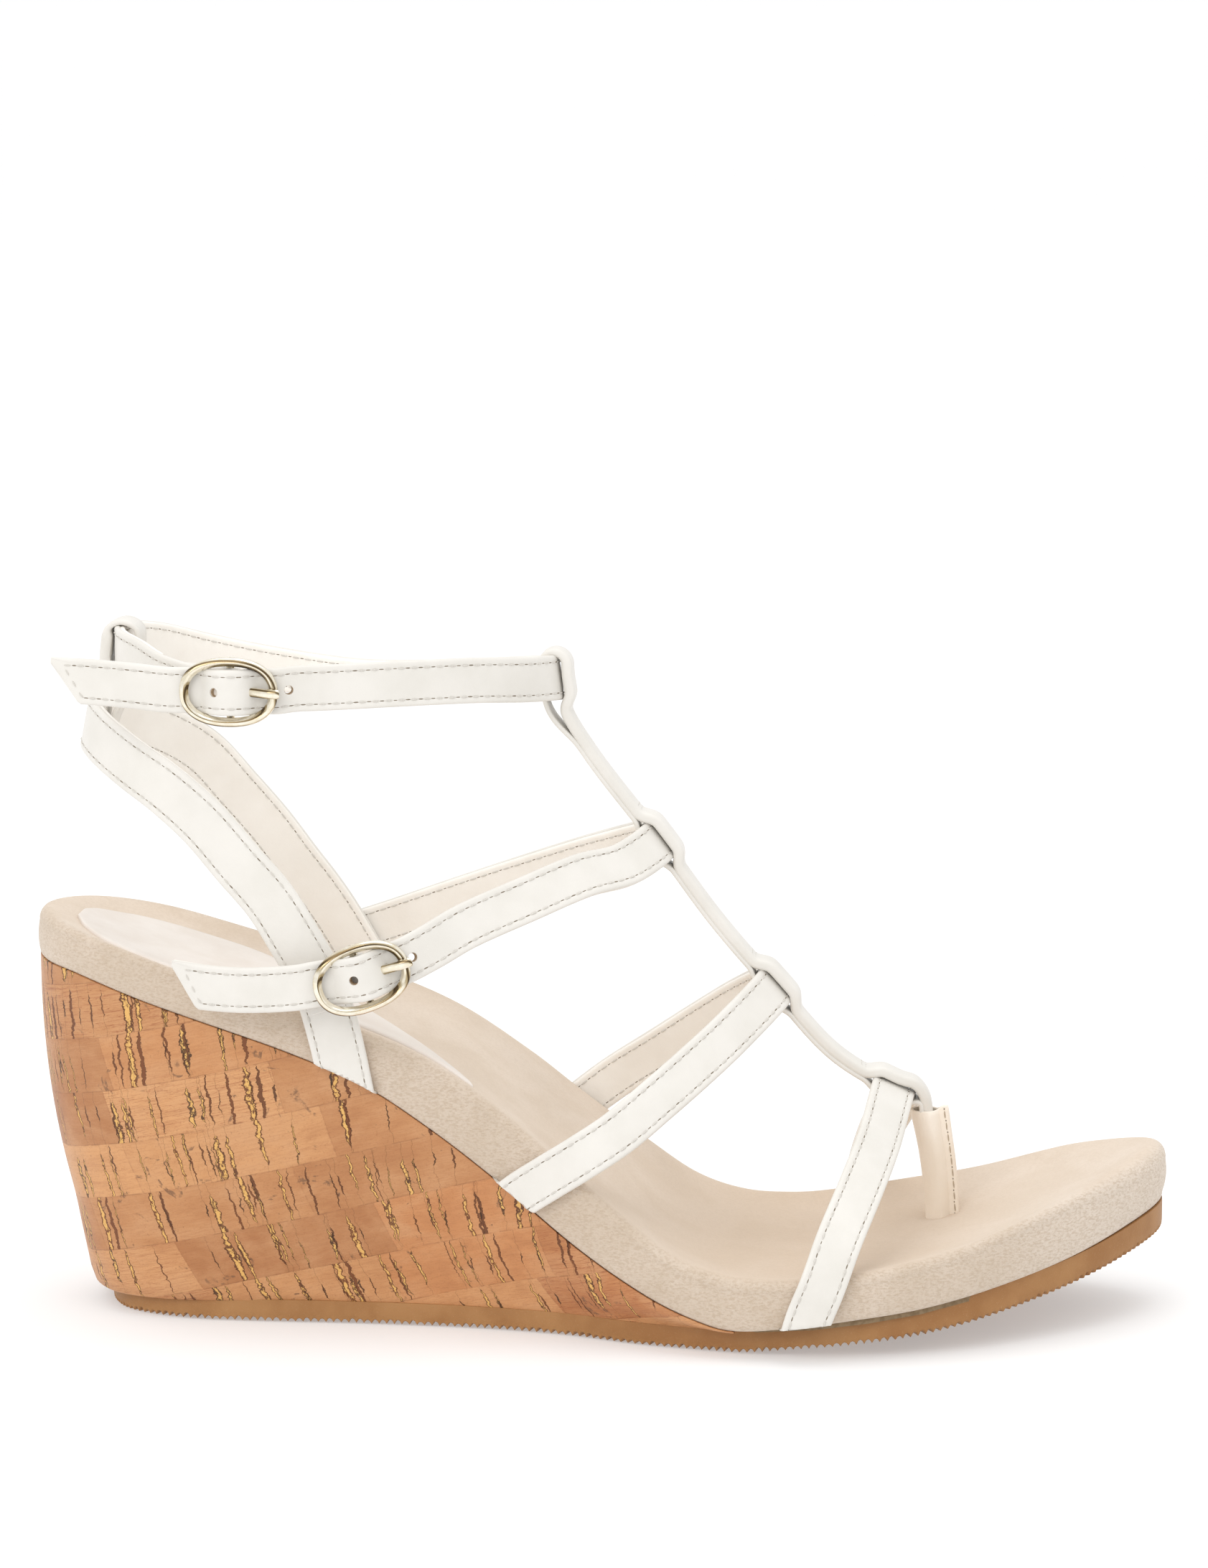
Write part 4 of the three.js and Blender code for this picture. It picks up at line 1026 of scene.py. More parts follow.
def carve(obj, cutters):
    """Punches holes through a piece. If the solver misses one, its cutter is nudged and it tries again."""
    for cutter in cutters:
        for _ in range(10):
            modifier = obj.modifiers.new("punch", "BOOLEAN")
            modifier.operation = "DIFFERENCE"
            modifier.solver = "FAST"
            modifier.object = cutter
            graph = bpy.context.evaluated_depsgraph_get()
            mesh = bpy.data.meshes.new_from_object(obj.evaluated_get(graph))
            obj.modifiers.clear()
            if FEWEST < len(mesh.vertices) - len(obj.data.vertices) < MOST:
                obj.data = mesh
                break
            cutter.location += NUDGE


# ---------- spine ----------
SPINE_MIDDLE = [(107.7, 3, 140), (107.9, 3, 132.9), (109.6, 3.2, 126), (115.2, 4.2, 116.6), (129, 5.8, 98.4),
                (141.4, 7.3, 81.3), (153.2, 8.6, 67.4), (166.2, 10, 53), (178.4, 11.2, 45.6),
                (184.6, 11.9, 43.5), (186.8, 12.2, 40.2), (187.1, 12.25, 37.4), (187.6, 12.3, 34)]
SPINE_WIDTH = 5.9
FRONT_PLY, REAR_PLY = 2.3, 1.0       # thickness
FRONT_REST, REAR_REST = 0.4, -0.9    # the plies' middles off the route, between straps
FRONT_OVER, REAR_OVER = 2.58, -1.78  # and round a strap
REAR_ROOM = -1.15                    # more for the ankle strap, which rocks
ARCH = 7.2                           # half length of the front ply's arch over a strap
SPINE_POINTS = 4000
spine_curve = centripetal(SPINE_MIDDLE)
spine_dense = [spine_curve(i / SPINE_POINTS) for i in range(SPINE_POINTS + 1)]
spine_run = lengths(spine_dense)
SPINE_LENGTH = spine_run[-1]


def spine_at(distance):
    """Point, tangent, width direction and outward normal on the spine's route."""
    distance = min(max(distance, 0.0), SPINE_LENGTH)
    j, w = find(spine_run, distance)
    t = (spine_dense[min(j + 6, SPINE_POINTS)] - spine_dense[max(j - 7, 0)]).normalized()
    b = (Vector((0, 1, 0)) - t * t.y).normalized()
    return spine_dense[j - 1].lerp(spine_dense[j], w), t, b, t.cross(b).normalized()


def spine_near(x, z):
    best = min(range(len(spine_dense)),
               key=lambda i: (spine_dense[i].x - x) ** 2 + (spine_dense[i].z - z) ** 2)
    return spine_run[best]


CROSSINGS = {"ankle": spine_near(107.9, 132.9), "instep": spine_near(129, 98.4),
             "mid": spine_near(153.2, 67.4), "toe": spine_near(178.4, 45.6)}


def crossing(name):
    p, _, _, n = spine_at(CROSSINGS[name])
    return (*p, *n)


def ply_offset(distance, side):
    """How far a ply's middle lies off the route; side is 1 for the front ply and -1 for the rear."""
    over = 0.0
    for name, s in CROSSINGS.items():
        away = abs(distance - s)
        if name == "ankle" and distance < s:
            part = 1.0
        elif side > 0:
            part = 1 - smooth(3.6, ARCH, away)
        else:
            part = 1 - smooth(*((4.6, 15.0) if name == "ankle" else (4.0, 6.3)), away)
        over = max(over, part)
    entry = -1.6 * smooth(SPINE_LENGTH - 11, SPINE_LENGTH - 6.5, distance)
    rest, high = (FRONT_REST, FRONT_OVER) if side > 0 else (REAR_REST, REAR_OVER)
    if side < 0 and distance < CROSSINGS["mid"] - 60:
        high += REAR_ROOM
    return rest + (high - rest) * over + entry


def make_spine():
    top = CROSSINGS["ankle"] - WIDTH / 2 + 1.8
    steps = 300
    route = [top + (SPINE_LENGTH - top) * i / steps for i in range(steps + 1)]
    rows = {}
    for side in (1, -1):
        raw = [ply_offset(distance, side) for distance in route]
        points = []
        for i, distance in enumerate(route):
            near = raw[max(i - 2, 0):i + 3]
            p, _, _, n = spine_at(distance)
            points.append(p + n * (sum(near) / len(near)))
        row = []
        for i, p in enumerate(points):
            t = (points[min(i + 1, steps)] - points[max(i - 1, 0)]).normalized()
            b = spine_at(route[i])[2]
            row.append((p, t.cross(b).normalized() * side, b))
        rows[side] = row
    front, rear = rows[1][0], rows[-1][0]
    centre, radius = (front[0] + rear[0]) / 2, (front[0] - rear[0]).length / 2
    outward = (front[0] - rear[0]).normalized()
    up = -spine_at(top)[1]
    bend = []
    for k in range(1, 16):
        q = pi * k / 16
        n = outward * cos(q) + up * sin(q)
        bend.append((centre + n * radius, n, front[2]))
    line = ([(*r, FRONT_PLY) for r in rows[1][::-1]]
            + [(*r, FRONT_PLY + (REAR_PLY - FRONT_PLY) * (k + 1) / 16) for k, r in enumerate(bend)]
            + [(*r, REAR_PLY) for r in rows[-1]])
    rings = []
    for i, (p, n, b, thick) in enumerate(line):
        from_end = min(i, len(line) - 1 - i) * (SPINE_LENGTH - top) / steps
        half = SPINE_WIDTH / 2 * (0.55 + 0.45 * smooth(1.0, 11.0 if i < len(line) / 2 else 7.5, from_end))
        r = min(0.42 * thick, 0.85)
        ring = []
        for cy, cz, begin in ((half - r, thick / 2 - r, 0), (-half + r, thick / 2 - r, 90),
                              (-half + r, -thick / 2 + r, 180), (half - r, -thick / 2 + r, 270)):
            for k in range(6):
                q = radians(begin + 18 * k)
                ring.append(p + b * (cy + r * cos(q)) + n * (cz + r * sin(q)))
        rings.append(ring)
    Build().rings(rings).piece("spine", IVORY, hides=["spine_strap"], slot="strap", sharp=50)
    threads, holes = Build(), Build()
    for name in ("instep", "mid", "toe"):
        for s in (CROSSINGS[name] - 7.6, CROSSINGS[name] - 8.6):
            p, t, b, n = spine_at(s)
            base = p + n * (ply_offset(s, 1) + FRONT_PLY / 2 - 0.04)
            for y in (-1.5, 0.0, 1.5):
                threads.blob(base + b * y, (b, t, n), (0.62, 0.15, 0.13), 6, 6)
                # Painted shade of the needle holes beside these stitches.
                holes.blob(base + b * (y + 0.75), (n, b, t), (0.05, 0.14, 0.14), 3, 6)
    make_stitches("spine", threads, holes, "sandal")


# ---------- toe-post wrap ----------
# Rows of the sleeve: height, x of its middle, half length, half width.
POST = [(41.0, 185.8, 4.1, 3.5), (36, 186.8, 3.9, 3.3), (31.5, 187.6, 3.8, 3.0), (26, 188.3, 3.7, 2.6),
        (20, 188.8, 3.6, 2.4), (14.2, 189.1, 3.6, 2.4)]
FLANGE = 2.0        # length of the sewn edge at the sleeve's front
FLANGE_HALF = 0.8
POST_LOW, POST_RISE, POST_STEPS = 14.2, 26.6, 28
post_rows = [profile([(p[0], p[m]) for p in reversed(POST)]) for m in (1, 2, 3)]


def post_section(z, inset, lift=0.0):
    x, long, wide = [row(z) for row in post_rows]
    back = long - 0.4
    centre = x - long + back
    seam = x + long - FLANGE
    thin = max(FLANGE_HALF - inset * 0.9, 0.12)
    points = [(centre + (back - inset) * cos(q), (wide - inset) * sin(q))
              for q in (pi / 2 + pi * k / 20 for k in range(21))]

    def side_y(u):
        return thin + (wide - inset - thin) * (0.5 + 0.5 * cos(pi * u)) ** 0.5

    shares = (0.15, 0.3, 0.45, 0.6, 0.75, 0.88, 1.0)
    span = seam - centre
    tip = x + long - inset * 0.3
    points += [(centre + span * u, -side_y(u)) for u in shares]
    points += [(tip - 0.9, -thin), (tip - 0.25, -thin), (tip, -thin * 0.5),
               (tip, thin * 0.5), (tip - 0.25, thin), (tip - 0.9, thin)]
    points += [(centre + span * u, side_y(u)) for u in reversed(shares)]
    return [Vector((px, POST_Y + py, z + lift * smooth(seam - 0.6, seam + 1.2, px))) for px, py in points]


def make_post():
    rings = []
    for k in range(POST_STEPS + 1):
        z = POST_LOW + POST_RISE * k / POST_STEPS
        rings.append(post_section(z, 0.14 if k == POST_STEPS else 0.0, 0.8 * smooth(20, POST_STEPS, k)))
    for z, inset in ((40.95, 0.4), (40.8, 0.8), (39.6, 0.95), (34, 1.0)):
        rings.append(post_section(z, inset, 0.8))
    Build().rings(rings).piece("toe_post_sleeve", CREAM, hides=["toe_post_wrap"], slot="wrap", sharp=45)
    threads, holes = Build(), Build()
    for side in (-1, 1):
        for k in range(10):
            z = 17.4 + 2.5 * k
            x = post_rows[0](z) + post_rows[1](z) - 0.85
            out = Vector((0, side, 0))
            lean = Vector((-0.12, 0, 1)).normalized()
            y = POST_Y + side * (FLANGE_HALF + 0.02)
            threads.blob(Vector((x, y, z)), (lean, out, lean.cross(out)), (0.85, 0.14, 0.16), 6, 6)
            # Painted shade of the needle holes beside these stitches.
            holes.blob(Vector((x, y, z)) + lean * 1.2, (out, lean, lean.cross(out)), (0.05, 0.24, 0.14), 3, 8)
    make_stitches("toe_post", threads, holes, "sandal", TAN_THREAD)


# ---------- buckles ----------
LONG, SHORT, OVAL = 9.1, 6.1, 2.3   # half sizes of the oval ring, and its exponent (2 is an ellipse)
BAR_DROP, BAR = 2.8, 0.85            # how far the bar lies under the ring, and its radius


def buckle_frame(origin, tilt, yaw):
    along = Vector((cos(tilt) * cos(yaw), sin(yaw), sin(tilt) * cos(yaw)))
    out = (Vector((0, -1, 0)) + along * along.y).normalized()
    bar = out.cross(along)
    turn = Matrix((along, bar, out)).transposed().to_4x4()
    return Matrix.Translation(origin) @ turn


ANKLE_BUCKLE = buckle_frame((45.5, -33, 134.4), 0, 0)
INSTEP_BUCKLE = buckle_frame((72.6, -37.8, 76.8), 0.35, 0.17)

# Side lines in a buckle's own frame: x, height, normal x, normal height. The fold goes round the bar, and the
# billet over it.
FOLD = [(-9.2, -2.9, -0.1, 1), (-5, -2.7, -0.2, 1), (-3.4, -2.1, -0.7, 1), (-2, -0.9, -1, 1),
        (-0.9, 0.5, -0.8, 1), (0, 0.95, 0, 1), (0.7, 0.7, 1, 1), (0.95, 0, 1, 0), (0.7, -0.7, 1, -1),
        (0, -1, 0.1, -1), (-1.3, -1.6, 0.5, -1), (-2.6, -2.4, 0.5, -1), (-4, -3, 0.3, -1),
        (-9.2, -3.4, 0.1, -1), (-12.5, -3.6, 0.1, -1)]
BILLET = [(-13.5, -0.3, 0, 1), (-9.1, 0.1, -0.1, 1), (-6.8, 0.25, -0.2, 1), (-5.2, 0.75, -0.6, 1),
          (-3.7, 1.95, -0.9, 1), (-2, 3, -0.5, 1), (0, 3.4, 0, 1), (2, 3, 0.5, 1), (3.7, 1.95, 0.9, 1),
          (5.2, 0.75, 0.6, 1), (6.8, 0.25, 0.2, 1), (9.1, 0.1, 0.1, 1)]


def in_buckle(matrix, line, rise=0.0, sink=0.0):
    """A buckle's side line in the sandal's frame; left of the bar it may climb and sink."""
    turn = matrix.to_3x3()
    out = []
    for x, z, nx, nz in line:
        left = max(-x, 0.0)
        p = matrix @ Vector((x, rise * left * (1 - 0.011 * left), z - sink * max(0.0, left - 5)))
        out.append((*p, *(turn @ Vector((nx, 0, nz)))))
    return out


def make_ring(name, matrix):
    """The oval ring and the centre bar with its bent ends."""
    build = Build()
    # Outward from the oval, and up from its plane.
    section = [(-0.86, -0.62), (-0.5, -0.9), (0.3, -0.95), (0.78, -0.78), (0.98, -0.35), (1.0, 0.12),
               (0.84, 0.55), (0.5, 0.84), (0.08, 0.93), (-0.2, 0.82), (-0.52, 0.42), (-0.86, -0.08)]
    count = 120
    rings = []
    for i in range(count):
        a = 2 * pi * i / count
        c, s = cos(a), sin(a)
        x = LONG * copysign(abs(c) ** (2 / OVAL), c)
        y = SHORT * copysign(abs(s) ** (2 / OVAL), s)
        n = Vector((c / LONG, s / SHORT, 0)).normalized()
        rings.append([matrix @ (Vector((x, y, BAR_DROP)) + n * r + Vector((0, 0, h))) for r, h in section])
    build.rings(rings, loop=True)
    legs = Strap([(0, -6.3, 2.6, 0, 1, 0), (0, -6.15, 1.2, 0, 1, -0.4), (0, -5.6, 0.35, 0, 0.7, -0.7),
                  (0, -4.7, 0, 0, 0.1, -1), (0, 0, 0, 0, 0, -1), (0, 4.7, 0, 0, -0.1, -1),
                  (0, 5.6, 0.35, 0, -0.7, -0.7), (0, 6.15, 1.2, 0, -1, -0.4), (0, 6.3, 2.6, 0, -1, 0)], 0.3)
    rings = []
    for p, _, n, b in legs.frames:
        rings.append([matrix @ (p + n * (BAR * cos(q * pi / 8)) + b * (BAR * sin(q * pi / 8)))
                      for q in range(16)])
    build.rings(rings)
    build.piece(name + "_buckle_ring", GOLD, name + "_buckle", [name + "_buckle_frame"], "buckle_metal", 30)


def make_prong(name, matrix):
    """A collar round the bar, and a half-round tongue that ends flush with the ring."""
    build = Build()
    rings = []
    for y, r in ((-0.95, 1.45), (-0.8, 1.72), (0, 1.8), (0.8, 1.72), (0.95, 1.45), (0.95, 1.08), (0, 1.05),
                 (-0.95, 1.08)):
        rings.append([matrix @ Vector((r * cos(q * pi / 14), y, r * sin(q * pi / 14)))
                      for q in range(28)])
    build.rings(rings, loop=True)
    line = [(1.1, 0.45), (1.8, 0.7), (2.6, 1.15), (4.4, 2.25), (5.8, 3.2), (7, 3.95), (8.1, 4.55),
            (9.1, 4.82), (10.0, 4.86), (10.5, 4.84), (10.62, 4.8)]
    rings = []
    for i, (x, z) in enumerate(line):
        before, after = line[max(i - 1, 0)], line[min(i + 1, len(line) - 1)]
        slope = atan2(after[1] - before[1], after[0] - before[0])
        size = {len(line) - 2: 0.96, len(line) - 1: 0.86}.get(i, 1.0)
        ring = []
        for y, h in ((-0.95, -0.55), (-0.98, -0.1), (-0.9, 0.3), (-0.62, 0.55), (-0.25, 0.66), (0.25, 0.66),
                     (0.62, 0.55), (0.9, 0.3), (0.98, -0.1), (0.95, -0.55)):
            ring.append(matrix @ Vector((x - sin(slope) * h * size, y * size, z + cos(slope) * h * size)))
        rings.append(ring)
    build.rings(rings)
    build.piece(name + "_buckle_tongue", GOLD, name + "_prong", [name + "_buckle_prong"], "buckle_metal", 35)


def punch(strap, distances, body, name, upper, inner):
    """Round punched holes through both plies, each with a dark wall behind it."""
    cutters = []
    rims = Build()
    for d in distances:
        p, t, n, b = strap.frame(d)
        axes = Matrix((t, b, n)).transposed()
        mesh = bpy.data.meshes.new("punch")
        bm = bmesh.new()
        bmesh.ops.create_cone(bm, cap_ends=True, segments=24, radius1=HOLE_RADIUS / 1000,
                              radius2=HOLE_RADIUS / 1000, depth=CUTTER_DEPTH / 1000)
        bm.transform(Matrix.Translation((p + ORIGIN) / 1000) @ axes.to_4x4())
        bm.to_mesh(mesh)
        bm.free()
        cutters.append(add_object("punch", mesh))
        rings = []
        for more, h in ((0.05, 0.7), (-0.1, 0.7), (-0.12, -0.7), (0.05, -0.7)):
            rings.append([p + (t * cos(q * pi / 12) + b * sin(q * pi / 12)) * (HOLE_RADIUS + more) + n * h
                          for q in range(24)])
        rims.rings(rings, loop=True)
    for obj in (upper, inner):
        carve(obj, cutters)
    for cutter in cutters:
        bpy.data.objects.remove(cutter)
    rims.piece(name + "_hole_walls", DARK, body, slot="strap")


# ---------- strap routes: [x, y, z, normal x, y, z] ----------
def wall_point(x, side, z, out=1.6):
    """A point on a strap that lies against the footbed's wall."""
    slope = (top_plan.y(x + 3, side) - top_plan.y(x - 3, side)) / 6
    n = Vector((-slope * side, side, 0)).normalized()
    return (x + out * n.x, top_plan.y(x, side) + out * n.y, z, *n)


def side_on(x, y, z):
    return (x, y, z, 0, copysign(1, y), 0)


SLING = [wall_point(69.3, -1, 47.5), wall_point(68.3, -1, 53), wall_point(66, -1, 63.6),
         side_on(62.9, -32.6, 74.2), side_on(57.1, -32, 84.6), side_on(52.6, -31, 91.2),
         (46.3, -29.6, 97.9, -0.05, -1, 0), (38.6, -27.6, 106.1, -0.15, -1, 0.05),
         (30.4, -24.2, 112.3, -0.35, -1, 0.1), (21.3, -18.4, 117.2, -0.8, -1, 0.15),
         (13.8, -10.6, 121.2, -1, -0.6, 0.2), (10, 0, 123, -1, 0, 0.2), (13.8, 10.5, 121.4, -1, 0.6, 0.2),
         (21, 17.2, 118.6, -0.8, 1, 0.15), (29.3, 22.4, 112.9, -0.35, 1, 0.1),
         (36.1, 25.8, 104.6, -0.15, 1, 0.05), (42.9, 28, 96.1, -0.05, 1, 0), side_on(48.5, 29.4, 88.2),
         side_on(53, 30.2, 82.1), side_on(57.5, 30.8, 75.2), wall_point(64.6, 1, 62),
         wall_point(67.4, 1, 53.5), wall_point(69, 1, 47.5)]
ANKLE_LEAD = [(8.5, -32.6, 136, 0, -1, 0), (17, -32.8, 135.7, 0, -1, 0), (25, -32.9, 135.1, 0, -1, 0)]
ANKLE_LOOP = [(58.6, -31.9, 134.8, 0.1, -1, 0), (64.5, -30.2, 134.9, 0.15, -1, 0),
              (79.5, -25, 135.2, 0.3, -1, 0), (93.4, -17.3, 135, 0.6, -1, 0), (102.7, -8.3, 134, 1, -0.8, 0),
              crossing("ankle"), (103.2, 13, 131.4, 1, 0.8, 0), (94.2, 18, 130.2, 0.5, 1, 0),
              (78.9, 23, 128.8, 0.25, 1, 0), (64, 26.2, 128.3, 0.1, 1, 0), (53.4, 27.4, 129.2, 0, 1, 0),
              (39.6, 27, 131.4, -0.15, 1, 0), (29.5, 23.2, 134, -0.4, 1, 0), (22, 15.3, 137, -0.9, 1, 0),
              (17.8, 7, 138.4, -1, 0.4, 0), (16.7, 0, 138.7, -1, 0, 0), (18.2, -7, 138.4, -1, -0.5, 0),
              (23, -14.2, 137.4, -1, -0.9, 0), (28.8, -22, 135.7, -0.8, -1, 0)]
ANKLE = ANKLE_LEAD + in_buckle(ANKLE_BUCKLE, BILLET) + ANKLE_LOOP + in_buckle(ANKLE_BUCKLE, FOLD, 0, 0.45)
INSTEP_LEAD = [(33.6, -39.4, 75.1, 0, -1, 0), (41.5, -39.6, 74.2, 0, -1, 0), (49, -39.7, 73.9, 0, -1, 0)]
INSTEP_LOOP = [(86.4, -33.4, 82.5, 0.45, -1, 0.2), (92.4, -29.4, 85.7, 0.5, -0.9, 0.35),
               (104.4, -23.2, 90.5, 0.6, -0.7, 0.45), (115.2, -15.5, 94.3, 0.65, -0.55, 0.5),
               (123, -7.4, 95.3, 0.7, -0.35, 0.6), crossing("instep"), (123.4, 18.4, 95.8, 0.7, 0.35, 0.6),
               (113.5, 24.4, 91.9, 0.65, 0.55, 0.45), (98.6, 28.8, 86.2, 0.5, 0.8, 0.3),
               (84.9, 31.6, 81, 0.3, 1, 0.15), (71.2, 33.4, 75.8, 0.1, 1, 0.05), (65, 33.8, 73.6, 0, 1, 0),
               (59, 33.7, 71.6, 0, 1, 0)]
INSTEP = INSTEP_LEAD + in_buckle(INSTEP_BUCKLE, BILLET, 0.21, 0.08) + INSTEP_LOOP
MID = [wall_point(100.5, -1, 27.4), wall_point(104.6, -1, 31), wall_point(110.4, -1, 35),
       (117.4, -35.6, 39.8, 0.1, -1, 0.25), (124.3, -33, 44.2, 0.3, -1, 0.4),
       (131.5, -27.6, 49.8, 0.5, -0.9, 0.5), (138.8, -19.6, 55.4, 0.6, -0.7, 0.6),
       (145.8, -9.6, 61, 0.7, -0.4, 0.6), crossing("mid"), (146.2, 22.6, 62.2, 0.7, 0.4, 0.6),
       (137.6, 29.2, 55.8, 0.6, 0.8, 0.5), (127, 33.2, 48.2, 0.3, 1, 0.35),
       (117, 34.2, 41.4, 0.1, 1, 0.1), wall_point(109.6, 1, 35.6), wall_point(104.6, 1, 31.4),
       wall_point(101, 1, 27.6)]
TOE = [wall_point(162.6, -1, 3), wall_point(164.2, -1, 9), wall_point(166.9, -1, 16),
       (170, -39.8, 24.2, 0.2, -1, 0.5), (173.4, -28.4, 31.8, 0.35, -0.7, 0.8),
       (176.4, -12, 38.8, 0.45, -0.35, 0.85), crossing("toe"), (178.1, 27, 39, 0.45, 0.6, 0.8),
       (174, 36.8, 29.8, 0.3, 1, 0.5), wall_point(171.2, 1, 19, 2), wall_point(170.2, 1, 10),
       wall_point(169.6, 1, 3)]
BACK_LOOP = [(12.2, 0, 119, -1, 0, 0.2), (13.1, 0, 123.5, -1, 0, 0.2), (13.6, 0, 128.4, -1, 0, 0),
             (13.2, 0, 134, -1, 0, 0), (13.5, 0, 139, -1, 0, 0.1), (14.3, 0, 142.6, -1, 0, 0.6),
             (17.3, 0, 144.1, 0, 0, 1), (20.4, 0, 142.7, 1, 0, 0.6), (20.8, 0, 139, 1, 0, 0),
             (20.3, 0, 134, 1, 0, 0), (17.6, 0, 128.4, 1, 0, -0.3), (15.4, 0, 124, 1, 0, -0.3),
             (13.8, 0, 119.2, 1, 0, -0.2)]


def hug(p):
    """Fills the loop's rear leg out towards the ankle strap."""
    inner = smooth(13.3, 13.7, p.x) * (1 - smooth(15.2, 15.8, p.x))
    return p + Vector((1.1 * inner * smooth(130, 135, p.z) * (1 - smooth(140.8, 143.2, p.z)), 0, 0))


def make_back_loop():
    strap = Strap(BACK_LOOP)
    section = [(-3.5, -0.55), (-3.72, -0.35), (-3.78, 0.05), (-3.68, 0.42), (-3.4, 0.6), (-3.0, 0.62),
               (-2.5, 0.5), (-2.1, 0.58), (0, 0.66), (2.1, 0.58), (2.5, 0.5), (3.0, 0.62), (3.4, 0.6),
               (3.68, 0.42), (3.78, 0.05), (3.72, -0.35), (3.5, -0.55)]
    sweep(strap, section, 0, strap.length, bend=hug).piece("back_loop_strip", IVORY, hides=["back_loop"],
                                                           slot="strap", sharp=45)
    threads, holes = Build(), Build()
    for d in (9.0, 10.4):
        stitch_row(strap, [(d, -2.3), (d, 2.3)], 0.62, 1, threads, holes, pitch=1.5, bite=0.16)
    make_stitches("back_loop", threads, holes, "sandal")


def make_tab():
    strap = Strap(in_buckle(INSTEP_BUCKLE, FOLD))
    section = [(y * 0.98, z) for y, z in OUTER_SECTION]
    sweep(strap, section, 0, strap.length).piece("instep_tab", IVORY, hides=["instep_buckle_tab"],
                                                 slot="strap", sharp=45)
    threads, holes = Build(), Build()
    stitch_row(strap, [(1.2, -2.8), (1.2, 2.8)], 1.1, 1, threads, holes, pitch=1.9)
    make_stitches("instep_tab", threads, holes, "sandal")


# ---------- hidden pieces keep their CAD shapes ----------
def finish_inner_nodes():
    looks = {
        "wedge_block": plain("wedge_core", srgb(206, 178, 136), srgb(188, 158, 116), 0.3, 0.85, 0.2),
        "insole_board": plain("board_fibre", srgb(150, 128, 98), srgb(128, 106, 78), 0.8, 0.9, 0.08),
        "footbed_core": plain("foam", srgb(232, 226, 214), srgb(222, 214, 198), 1.4, 0.95, 0.15),
    }
    steel = plain("screw_steel", srgb(190, 190, 192), srgb(160, 160, 164), 1.2, 0.35, 0.02, 1.0)
    for node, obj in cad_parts.items():
        look = steel if node.startswith("heel_screw") else looks.get(node)
        if look:
            obj.data.materials.clear()
            obj.data.materials.append(look)


# ---------- the sandal ----------
make_footbed()
make_pad()
make_cork()
make_outsole()
make_strap("sling_strap", SLING, width=SLING_WIDTH)
make_strap("mid_strap", MID)
make_strap("toe_strap", TOE)
# The ankle strap's lining stops where the strap folds back round its buckle's bar.
ankle, ankle_upper, ankle_inner = make_strap("ankle_strap", ANKLE, "ankle_loop", True,
                                             len(ANKLE) - len(FOLD) - 1)
instep, instep_upper, instep_inner = make_strap("instep_strap", INSTEP, "sandal", True)


def nearest(strap, point):
    return min(range(len(strap.frames)), key=lambda i: (strap.frames[i][0] - point).length) * strap.step


over_bar = Vector((0, 0, 3.4))
ankle_bar = nearest(ankle, ANKLE_BUCKLE @ over_bar)
instep_bar = nearest(instep, INSTEP_BUCKLE @ over_bar)
punch(ankle, [ankle_bar + along for along in (-2.5, 5.0, 12.6, 21.8)], "ankle_loop", "ankle_strap",
      ankle_upper, ankle_inner)
punch(instep, [instep_bar + along for along in (-1.6, 5.4, 11.6)], "sandal", "instep_strap",
      instep_upper, instep_inner)
make_spine()
make_post()
make_back_loop()
make_tab()
for buckle, matrix in (("ankle", ANKLE_BUCKLE), ("instep", INSTEP_BUCKLE)):
    make_ring(buckle, matrix)
    make_prong(buckle, matrix)
finish_inner_nodes()


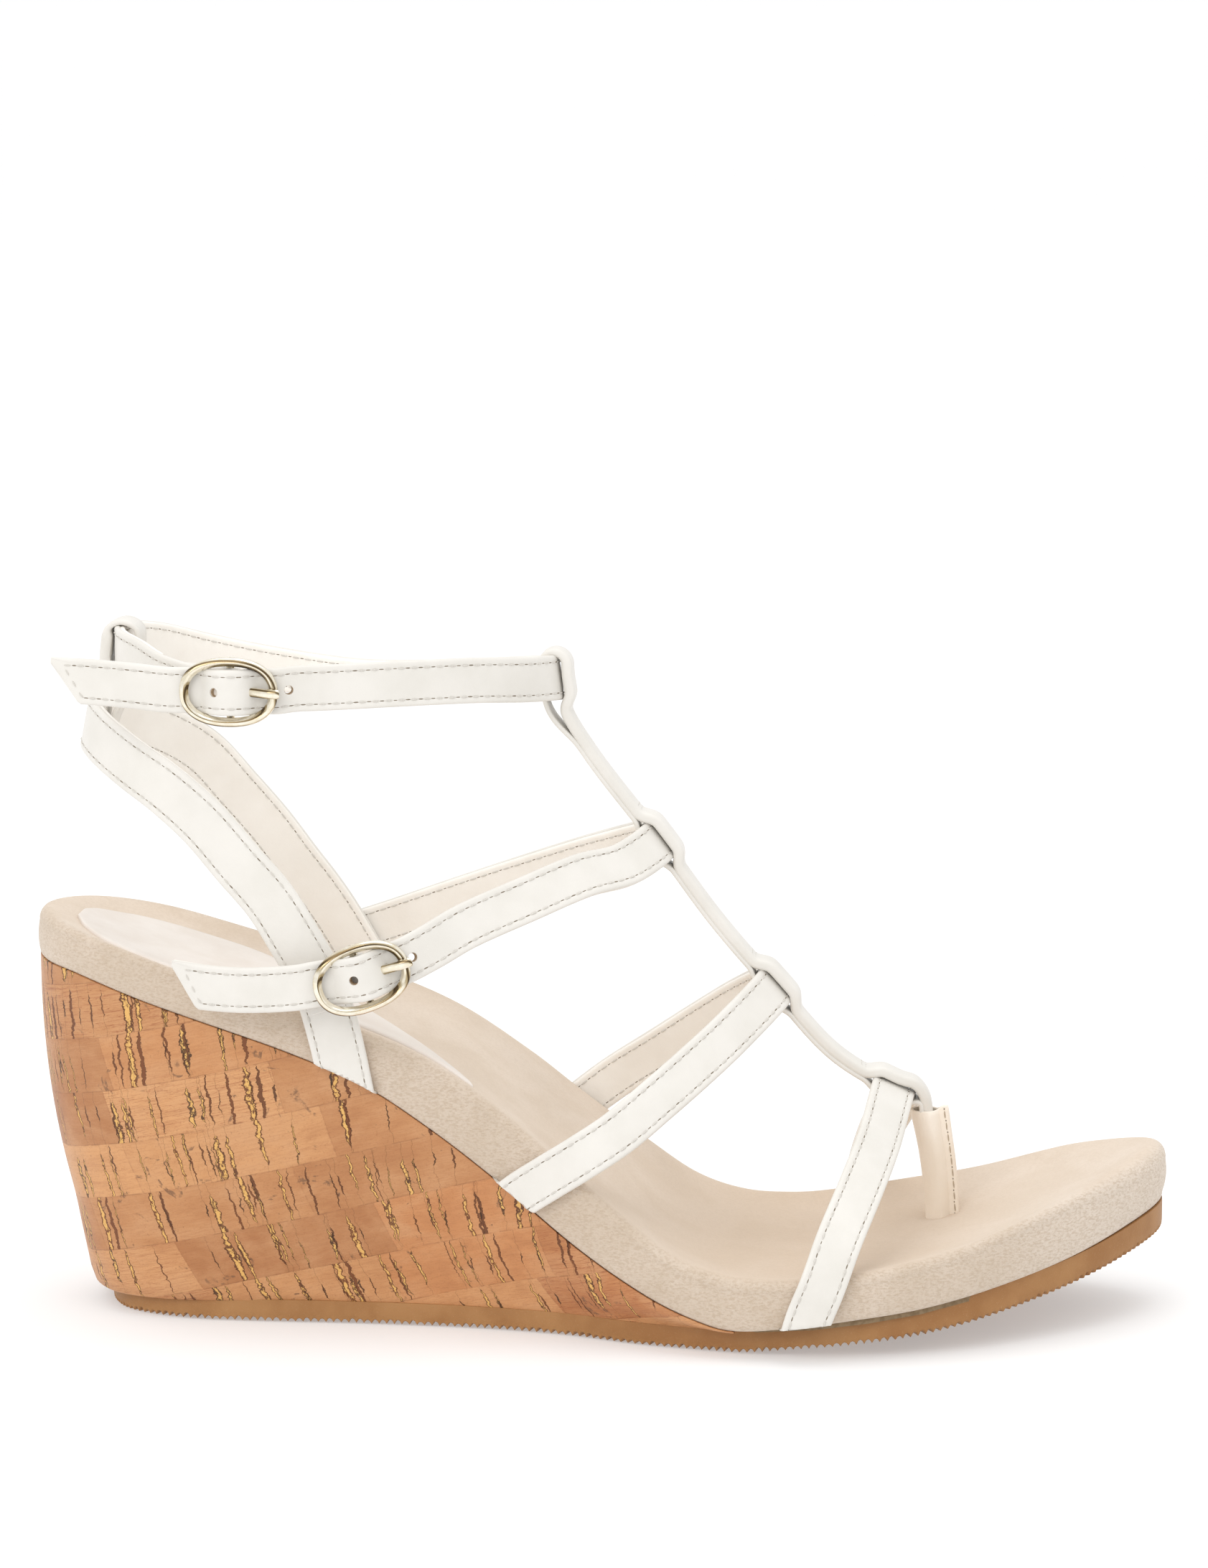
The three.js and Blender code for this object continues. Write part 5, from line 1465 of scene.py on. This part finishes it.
# ---------- studio ----------
FLOOR_HALF, FLOOR_DROP, FLOOR_GLOW = 40, 0.0002, 0.335  # metres, metres, emission strength
LAMPS = {"key": ((-0.55, -1.15, 0.95), (0, 0, 0.07), (0.9, 0.7), 5.5),  # place, aim, size, watts
         "top": ((0.1, 0.1, 1.5), (0, 0, 0), (1.2, 1.0), 5)}
LENS, SENSOR = 126.1, 36.0
CAMERA_AT = (235.9, -1121.9, 292.2)
CAMERA_AZIMUTH, CAMERA_ELEVATION = radians(5.99), radians(9.12)


def make_studio():
    floor_mesh = bpy.data.meshes.new("floor")
    corners = ((-1, -1), (1, -1), (1, 1), (-1, 1))
    floor_mesh.from_pydata([(FLOOR_HALF * x, FLOOR_HALF * y, 0) for x, y in corners], [], [(0, 1, 2, 3)])
    net = Net("studio_floor", Roughness=0.9)
    net.colour(srgb(209, 209, 209, 1.0))
    net.put(net.shader.inputs["Emission Color"], (1.0, 1.0, 1.0, 1.0))
    net.put(net.shader.inputs["Emission Strength"], FLOOR_GLOW)
    floor_mesh.materials.append(net.material)
    floor = add_object("floor", floor_mesh)
    floor.location.z = -FLOOR_DROP

    world = bpy.data.worlds.new("studio")
    bpy.context.scene.world = world
    world.use_nodes = True
    sky = world.node_tree.nodes["Background"].inputs
    sky[0].default_value, sky[1].default_value = (1.0, 1.0, 1.0, 1.0), 1.0

    for name, (place, aim, size, power) in LAMPS.items():
        data = bpy.data.lights.new(name, "AREA")
        data.shape = "RECTANGLE"
        data.size, data.size_y = size
        data.energy = power
        obj = add_object(name, data)
        obj.location = place
        obj.rotation_euler = (Vector(aim) - Vector(place)).to_track_quat("-Z", "Y").to_euler()


def make_camera():
    data = bpy.data.cameras.new("camera")
    data.sensor_width = SENSOR
    data.lens = LENS
    data.clip_start, data.clip_end = 0.05, 200.0
    camera = add_object("camera", data)
    camera.location = (Vector(CAMERA_AT) + ORIGIN) / 1000
    flat = cos(CAMERA_ELEVATION)
    look = Vector((-sin(CAMERA_AZIMUTH) * flat, cos(CAMERA_AZIMUTH) * flat, -sin(CAMERA_ELEVATION)))
    camera.rotation_euler = look.to_track_quat("-Z", "Y").to_euler()
    bpy.context.scene.camera = camera


make_studio()
make_camera()
bpy.context.scene.view_settings.view_transform = "Standard"
